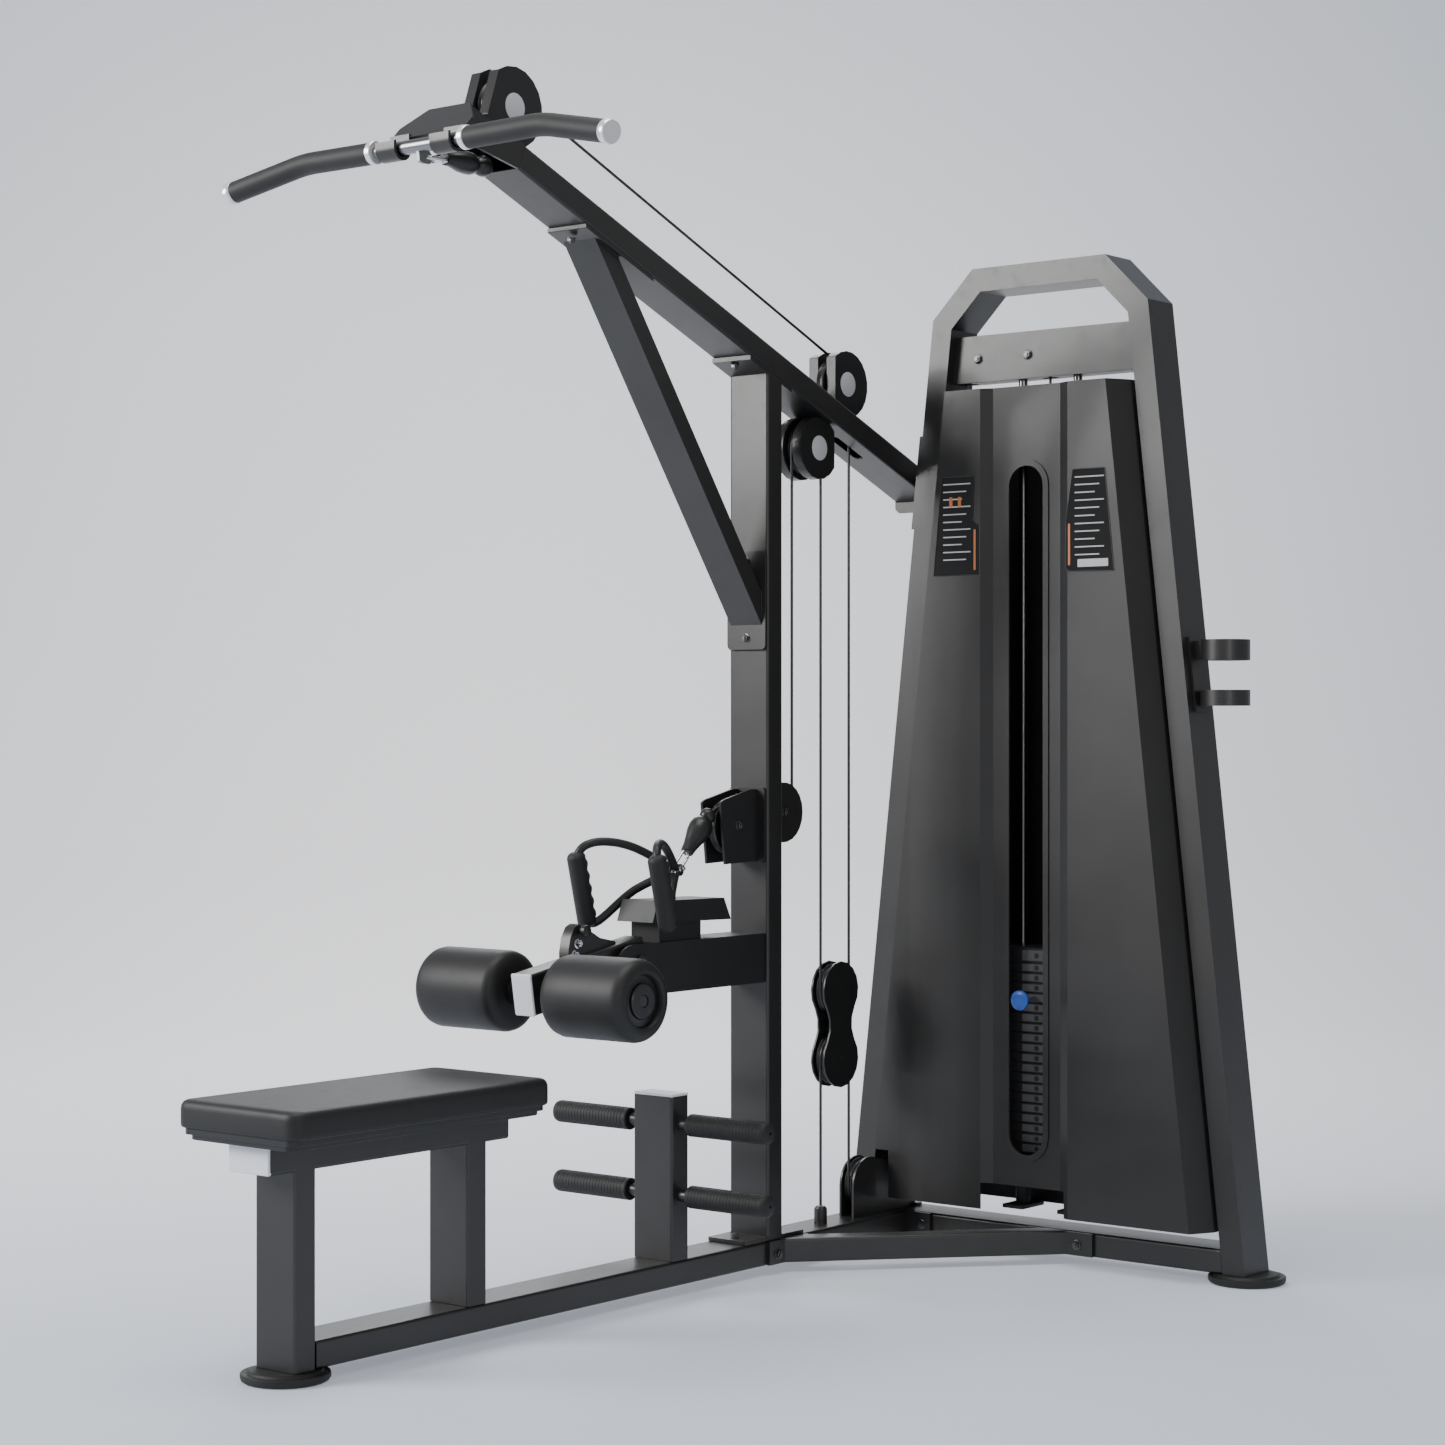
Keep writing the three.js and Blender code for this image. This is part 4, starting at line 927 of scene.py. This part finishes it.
def rounded(points: Sequence[Pair], steps: int) -> list[Pair]:
    """Smooth a path through its corners.

    Args:
        points: the corners.
        steps: points for each corner.
    Returns:
        The smoothed path.
    """
    out = [points[0]]
    for a, b, c in zip(points, points[1:], points[2:]):
        start = ((a[0] + b[0]) / 2, (a[1] + b[1]) / 2)
        stop = ((b[0] + c[0]) / 2, (b[1] + c[1]) / 2)
        for k in range(steps + 1):
            t = k / steps
            out.append(tuple((1 - t) ** 2 * start[i] + 2 * t * (1 - t) * b[i] + t * t * stop[i] for i in (0, 1)))
    return [*out, points[-1]]


@dataclass(frozen=True)
class Round:
    """A wheel, or a loose end, that a cable passes."""

    y: float
    z: float
    turn: int = 0
    r: float = 50.0


def route(stops: Sequence[Round], steps: float = 6.0) -> list[Pair]:
    """Lay a cable tangent to each wheel in turn.

    Args:
        stops: loose ends and wheels in order.
        steps: degrees between points on a wheel.
    Returns:
        The cable's middle line.
    """
    runs = []
    for p, q in zip(stops, stops[1:]):
        a, b = p.r * p.turn, q.r * q.turn
        heading = math.atan2(q.z - p.z, q.y - p.y) + math.acos((b - a) / math.hypot(q.y - p.y, q.z - p.z))
        n = (math.cos(heading), math.sin(heading))
        runs.append(((p.y - a * n[0], p.z - a * n[1]), (q.y - b * n[0], q.z - b * n[1])))
    out = [runs[0][0]]
    for i, stop in enumerate(stops[1:-1]):
        first = math.degrees(math.atan2(runs[i][1][1] - stop.z, runs[i][1][0] - stop.y))
        last = math.degrees(math.atan2(runs[i + 1][0][1] - stop.z, runs[i + 1][0][0] - stop.y))
        sweep = (last - first) % 360 if stop.turn > 0 else -((first - last) % 360)
        straight(out, (stop.y + stop.r * math.cos(math.radians(first)),
                       stop.z + stop.r * math.sin(math.radians(first))))
        out += arc(stop.y, stop.z, stop.r, first, first + sweep, max(1, round(abs(sweep) / steps)))[1:]
    straight(out, runs[-1][1])
    return out


def straight(out: list[Pair], end: Pair, gap: float = 30.0) -> None:
    """Add a straight run to a path, with points along it.

    Args:
        out: the path so far.
        end: where the run ends.
        gap: most distance between points.
    """
    start = out[-1]
    n = max(12, round(math.hypot(end[0] - start[0], end[1] - start[1]) / gap))
    out += [(start[0] + (end[0] - start[0]) * k / n, start[1] + (end[1] - start[1]) * k / n) for k in range(1, n + 1)]


@dataclass(frozen=True)
class Cables:
    """The two cables, laid in runs from wheel to wheel; the run to the tower rides on the frame."""

    r: float = 3.0
    top: Pair = (-765, 2266)
    mid: Pair = (270, 1845)
    under: Pair = (170, 1703)
    up: Pair = (270, 560)
    low: Pair = (270, 414)

    def run(self, name: str, path: Iterable[Vector], node: str | None) -> bpy.types.Object:
        """Sweep one run of cable.

        Args:
            name: piece name.
            path: its middle line.
            node: CAD node it replaces, if any.
        Returns:
            The piece, not yet fixed to a body.
        """
        shape = Form().swept(list(path), lambda s, t: self.r, 14).build(name, SHEATH)
        if node:
            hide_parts(node)
        print("piece", name, "for", node or "trim")
        return shape

    def build(self) -> None:
        """Lay every run."""
        plane = lambda pts: [Vector((0, y, z)) for y, z in pts]
        pull = route([Round(-815, 2175, r=0), Round(*self.top, -1), Round(*self.mid, -1), Round(320, 1838, r=0)])
        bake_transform(self.run("cable_over_boom", plane(pull), "cable_pull"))
        loop = route([Round(320, 1838.2, r=0), Round(*self.up, -1), Round(220, 1700, r=0)])
        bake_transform(self.run("cable_block_upper", plane(loop), "cable_upper_loop"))
        row = route([Round(220, 1700.4, r=0), Round(*self.under, 1), Round(70, 942, -1), Round(-92, 917, 1),
                     Round(-152, 943, r=0)])
        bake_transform(self.run("cable_to_row", plane(row), "cable_row"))
        foot = (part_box("cable_lower_loop")[0].z * 1000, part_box("cable_stack")[0].z * 1000)
        down = route([Round(220, foot[0], r=0), Round(*self.low, -1), Round(320, 141, r=0)])
        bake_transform(self.run("cable_block_lower", plane(down), "cable_lower_loop"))
        low = route([Round(320, 140.6, r=0), Round(370, 137, 1), Round(481.7, 125, 1, 38), Round(519.7, 135, r=0)])
        high = route([Round(0, 140, r=0), Round(216, 1906, -1, 40), Round(342, 1906, -1, 40), Round(382, 1905, r=0)])
        tower = plane(low) + [Vector((x, 519.7, z)) for x, z in high]
        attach(self.run("cable_to_tower", tower, "cable_stack"), "frame")
        drop = [Vector((382, 519.7, 1906 - 1222 * k / 40)) for k in range(41)]
        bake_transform(self.run("cable_stack_drop", drop, None))


@dataclass(frozen=True)
class Tower:
    """Guide rods, pin, plate marks and placards of the weight tower; the plate marks are painted highlight on the
    plate fronts and painted shade in the pin holes.
    """

    x: float = 382.0
    y: float = 519.7
    rods: float = 68.0
    hole: float = 612.8
    pitch: float = 21.1
    count: int = 19
    lifted: int = 4

    def build(self) -> None:
        """Make the tower's own pieces."""
        for s, node in ((-1, "guide_rod_left"), (1, "guide_rod_right")):
            x = self.x + s * self.rods
            rod = Form().turned(Axis.Z, (x, self.y, 0), [(9.5, 218), (9.5, 1855.6)], 40)
            put(rod.build("rod_" + node, ROD), "frame", ROD, node)
            stop = Form().turned(Axis.Z, (x, self.y, 0), [(15, 106), (16, 108), (16, 217), (14.5, 220)], 40)
            pad = round_rect(x - 26, x + 26, self.y - 44, self.y + 44, 5)
            stop.slab(lambda u, v, h: Vector((u, v, h)), pad, [(0, 100.4), (0, 107), (1, 108)])
            put(stop.build("bumper_" + node, RUBBER), "frame", RUBBER)
        z = self.hole - (self.lifted - 1) * self.pitch
        knob = [(5, 411.4), (15, 411.2), (17.5, 409.5), (18.2, 407), (20.4, 405), (21, 402), (20.4, 399), (18, 397),
                (12, 396)]
        put(Form().turned(Axis.Y, (self.x, 0, z), knob, 48).build("pin_knob", BLUE), "selector_pin", BLUE,
            "selector_pin")
        put(Form().turned(Axis.Y, (self.x, 0, z), [(4.3, 410), (4.3, 526), (3.2, 529)], 24).build("pin_shaft", STEEL),
            "selector_pin", STEEL)
        for body, levels in (("stack", range(-1, self.lifted)), ("frame", range(self.lifted, self.count))):
            front_highlights, hole_shades = Form(), Form()
            for k in levels:
                level, half = self.hole - k * self.pitch + (4.5 if k < 0 else 0), 11.0 if k < 0 else 7.4
                face = self.y - 53.0
                # Each plate front gets a lighter patch of painted highlight; the plates' own dark paint shows between
                # the patches.
                highlight_patch = round_rect(self.x - 36, self.x + 60, level - half, level + half, 1.5, 3)
                front_highlights.slab(lambda u, v, h: Vector((u, h, v)), highlight_patch,
                            [(0, face + 0.1), (0, face - 0.5), (0.4, face - 0.8)])
                # Each plate but the pinned one gets a dark disc of plate paint for its pin hole: painted shade inside
                # the hole.
                if k != self.lifted - 1:
                    hole_shades.turned(Axis.Y, (self.x, 0, level), [(5.6, face - 0.7), (5.6, face - 1.0)], 20)
            put(front_highlights.build("plate_front_highlights_" + body, PLATE_HIGHLIGHT), body, PLATE_HIGHLIGHT)
            put(hole_shades.build("plate_hole_shades_" + body, PLATE), body, PLATE)
        self.build_placards()

    def build_placards(self) -> None:
        """Lay the two plain information plates on the shroud."""
        left = [(177, 1649), (156, 1440), (269, 1441), (269, 1545), (255, 1558), (259, 1649)]
        right = [(503, 1650), (487, 1545), (487, 1446), (494, 1440), (602, 1438), (580, 1650)]
        cards, lines, heads, rims = Form(), Form(), Form(), Form()
        flat = lambda u, v, h: Vector((u, 415 - h, v))
        for card in (left, right):
            cards.slab(flat, card[::-1] if card is right else card, [(0, -0.1), (0, 0.5)])
            edge = [Vector((u, 414.6, v)) for u, v in card]
            loop = [edge[i].lerp(edge[(i + 1) % 6], k / 8) for i in range(6) for k in range(8)]
            rims.swept(loop, lambda s, t: 1.1, 6, closed=True)
        for x0, x1 in ((180, 250), (508, 578)):
            for k in range(11):
                z = 1632 - k * 16
                lines.slab(flat, round_rect(x0, x1 - 11 * (k % 3), z, z + 2.6, 1, 2), [(0, 0.4), (0, 0.8)])
        lines.slab(flat, round_rect(515, 588, 1448, 1464, 1.5, 3), [(0, 0.4), (0, 0.8)])
        for x0, x1, z0, z1 in ((258, 263, 1450, 1536), (492, 497, 1452, 1538), (196, 204, 1585, 1606),
                               (218, 226, 1585, 1606)):
            heads.slab(flat, round_rect(x0, x1, z0, z1, 2, 3), [(0, 0.4), (0, 0.9)])
        put(cards.build("placards", CARD), "frame", CARD)
        put(rims.build("placard_rims", PLASTIC), "frame", PLASTIC)
        put(heads.build("placard_bars", ORANGE), "frame", ORANGE)
        put(lines.build("placard_lines", LABEL), "frame", LABEL)


@dataclass(frozen=True)
class EndCaps:
    """Pale caps in the open tube ends."""

    def build(self) -> None:
        """Make the seat beam's, the peg post's and the thigh arm's caps."""
        caps = Form()
        caps.slab(lambda u, v, h: Vector((u, -h, v)), round_rect(-50, 50, 363.7, 413.7, 4),
                  [(0.3, 1383), (0, 1384), (0, 1387), (1.5, 1389)])
        caps.slab(lambda u, v, h: Vector((u, v, h)), round_rect(-50, 50, -330, -278, 4),
                  [(0.3, 393), (-0.4, 394.2), (-0.4, 396), (1.5, 398)])
        put(caps.build("tube_caps", WHITE), "frame", WHITE)
        tilt, arm = math.radians(9.5), Form()
        place = lambda u, v, h: Vector((u, -416 + -h * math.cos(tilt) - v * math.sin(tilt),
                                        666 - h * math.sin(tilt) + v * math.cos(tilt)))
        arm.slab(place, round_rect(-25, 25, -40, 40, 4), [(0.3, 290), (0, 291.5), (0, 293), (1.5, 294.5)])
        put(arm.build("arm_cap", WHITE), "thigh_arm", WHITE)
        lock = (((12, -565, 707), Axis.X, 1), ((12, -574, 685), Axis.X, 1), ((-12, -565, 707), Axis.X, -1))
        Bolts("lock_bolt", "thigh_arm", lock, 8.0, CHROME).build()
        knob = Form().turned(Axis.X, (0, -559, 731), [(6, 11), (6, 20), (11, 22), (12, 26), (11, 32), (8, 34)], 32)
        put(knob.build("lock_knob", PLASTIC), "thigh_arm", PLASTIC)


BOLTS = (
    Bolts("row_bracket_bolt", "frame", (((27, -90, 920), Axis.X, 1), ((20, 72, 943), Axis.X, 1))),
    Bolts("crossbeam_bolt", "frame", (((216, 494.7, 1906), Axis.Y, -1), ((342, 494.7, 1906), Axis.Y, -1))),
    Bolts("base_plate_bolt", "frame", (((3, -73, 78), Axis.Z, 1),)),
    Bolts("flange_bolt", "frame", (((57, 0, 41), Axis.X, 1), ((482, 462, 43), Axis.Y, -1),
                                   ((90, 462, 45), Axis.Y, -1))),
    Bolts("brace_bolt_low", "frame", (((0, -33, 1301), Axis.Y, -1), ((0, -33, 1458), Axis.Y, -1)), 7.5),
    Bolts("brace_bolt_high", "frame", (((0, -570, 2052), Axis.Z, -1), ((0, -406, 2005), Axis.Z, -1)), 7.5),
    Bolts("column_bolt", "frame", (((0, -70, 1858), Axis.Z, -1),), 7.5),
    Bolts("thigh_pivot_bolt", "frame", (((46, -416, 666), Axis.X, 1), ((-46, -416, 666), Axis.X, -1)), 9.0),
)


# --- stage
@dataclass(frozen=True)
class Studio:
    """Floor, backdrop, lights and the camera."""

    eye: Point = (3776.3, -4793.65, 1128.13)
    heading: float = 38.88
    lens: float = 73.906

    def build(self) -> None:
        """Set up everything that isn't the machine."""
        self.sweep()
        self.light("key", (-3.6, -4.6, 3.4), 2.6, 380)
        self.light("fill", (5.2, -3.2, 2.2), 2.0, 45)
        self.light("top", (0.2, -0.4, 5.6), 3.0, 170)
        self.light("back", (-3.4, 3.6, 3.8), 2.0, 70)

        world = bpy.data.worlds.new("studio")
        world.use_nodes = True
        world.node_tree.nodes["Background"].inputs[0].default_value = (0.85, 0.855, 0.87, 1)
        world.node_tree.nodes["Background"].inputs[1].default_value = 0.38
        bpy.context.scene.world = world
        camera = bpy.data.objects.new("camera", bpy.data.cameras.new("camera"))
        bpy.context.scene.collection.objects.link(camera)
        camera.location = at(*self.eye)
        camera.rotation_euler = (math.radians(90), 0, math.radians(self.heading))
        camera.data.lens = self.lens
        camera.data.sensor_width = 36.0
        camera.data.clip_end = 200.0
        bpy.context.scene.camera = camera

    def sweep(self) -> None:
        """Make the floor that curves up into a backdrop, which glows with a painted pool of light, brightest near a
        spot behind the machine and darker away from it.
        """
        graph = Graph("look_backdrop")
        # Painted light: the backdrop is brightest near a spot behind the machine, darker further away, and glows by
        # emission.
        glow_spot_distance = graph.node("VectorMath", {"operation": "DISTANCE"})
        graph.feed(glow_spot_distance.inputs[0], graph.coords())
        glow_spot_distance.inputs[1].default_value = Matrix.Rotation(math.radians(self.heading), 3, "Z") @ Vector((-0.9, 6.0, 1.5))
        painted_glow_falloff = Sock(graph, glow_spot_distance.outputs["Value"]).step(0.6, 6.4)
        painted_glow_tone = graph.mix(painted_glow_falloff, (0.97, 0.97, 0.98), (0.44, 0.47, 0.53))
        graph.feed(graph.shader.inputs["Base Color"], painted_glow_tone)
        graph.feed(graph.shader.inputs["Emission Color"], painted_glow_tone)
        graph.feed(graph.shader.inputs["Emission Strength"], 0.62)
        graph.feed(graph.shader.inputs["Roughness"], 0.9)
        mesh = bpy.data.meshes.new("backdrop")
        turn = Matrix.Rotation(math.radians(self.heading), 4, "Z")
        side = [(-14.0, 0.0), (5.0, 0.0)] + [(a, 3.0 + b) for a, b in arc(5.0, 0.0, 3.0, -90, 0, 24)] + [(8.0, 14.0)]
        verts = [turn @ Vector((x, y, z)) for y, z in side for x in (-14.0, 14.0)]
        mesh.from_pydata(verts, [], [(2 * k, 2 * k + 1, 2 * k + 3, 2 * k + 2) for k in range(len(side) - 1)])
        mesh.shade_smooth()
        mesh.materials.append(graph.material)
        shape = bpy.data.objects.new("backdrop", mesh)
        bpy.context.scene.collection.objects.link(shape)

    def light(self, name: str, spot: Point, size: float, power: float, aim: Point = (0.0, 0.0, 1.0)) -> None:
        """Add a soft square light aimed at the machine.

        Args:
            name: the light's name.
            spot: where it is, in metres.
            size: its width, in metres.
            power: its power, in watts.
            aim: the point it faces.
        """
        lamp = bpy.data.lights.new(name, "AREA")
        lamp.energy, lamp.size = power, size
        shape = bpy.data.objects.new(name, lamp)
        bpy.context.scene.collection.objects.link(shape)
        shape.location = spot
        shape.rotation_euler = (Vector(aim) - Vector(spot)).to_track_quat("-Z", "Y").to_euler()


def main() -> None:
    """Build and dress the machine, then the stage."""
    Dressed(("main_beam", "base_diagonal", "tower_base_beam", "column", "boom", "boom_brace", "seat_frame",
             "foot_peg_post", "tower_frame", "bar_hook_bracket", "thigh_arm", "base_pulley_bracket", "cup_holder"),
            PAINT).dress()
    # The thigh housing and row bracket take the black paint with painted shade.
    Dressed(("thigh_housing", "row_bracket"), BLACK_AND_SHADE).dress()
    Dressed(("top_pulley_housing", "boom_pulley_housing", "under_pulley_housing"), PLASTIC, 2.5).dress()
    Dressed(("floating_block", "seat_board"), PLASTIC, 0.8).dress()
    Dressed(("foot_front", "foot_left", "foot_right"), RUBBER, 2.0).dress()
    Dressed(("stack_head",), PLATE, 1.0).dress()
    Dressed(("lifted_plates", "resting_plates"), PLATE, 0.35).dress()
    Dressed(("shroud_front", "shroud_rear"), SHROUD, 1.2, 12).dress()
    runs = {"wheel_base_rear": 38.0}
    for node in ("top", "boom_upper", "boom_lower", "row_front", "row_rear", "block_upper", "block_lower",
                 "base_front", "base_rear"):
        Wheel("wheel_" + node, run=runs.get("wheel_" + node, 50.0)).build()
    Wheel("wheel_tower_left", Axis.Y, 40.0).build()
    Wheel("wheel_tower_right", Axis.Y, 40.0).build()
    Discs(((-765, 2266), (270, 1845), (170, 1703))).build()
    SeatPad().build()
    Roller("thigh_roller_left", "roller_left", -1).build()
    Roller("thigh_roller_right", "roller_right", 1).build()
    for level, z in (("upper", 338.5), ("lower", 198.0)):
        for side, s in (("left", -1), ("right", 1)):
            PegGrip(f"foot_peg_grip_{level}_{side}", s, z).build()
    PullBar().build()
    RowHandle().build()
    Cables().build()
    Tower().build()
    EndCaps().build()
    for bolts in BOLTS:
        bolts.build()
    Studio().build()


if __name__ == "__main__":
    main()
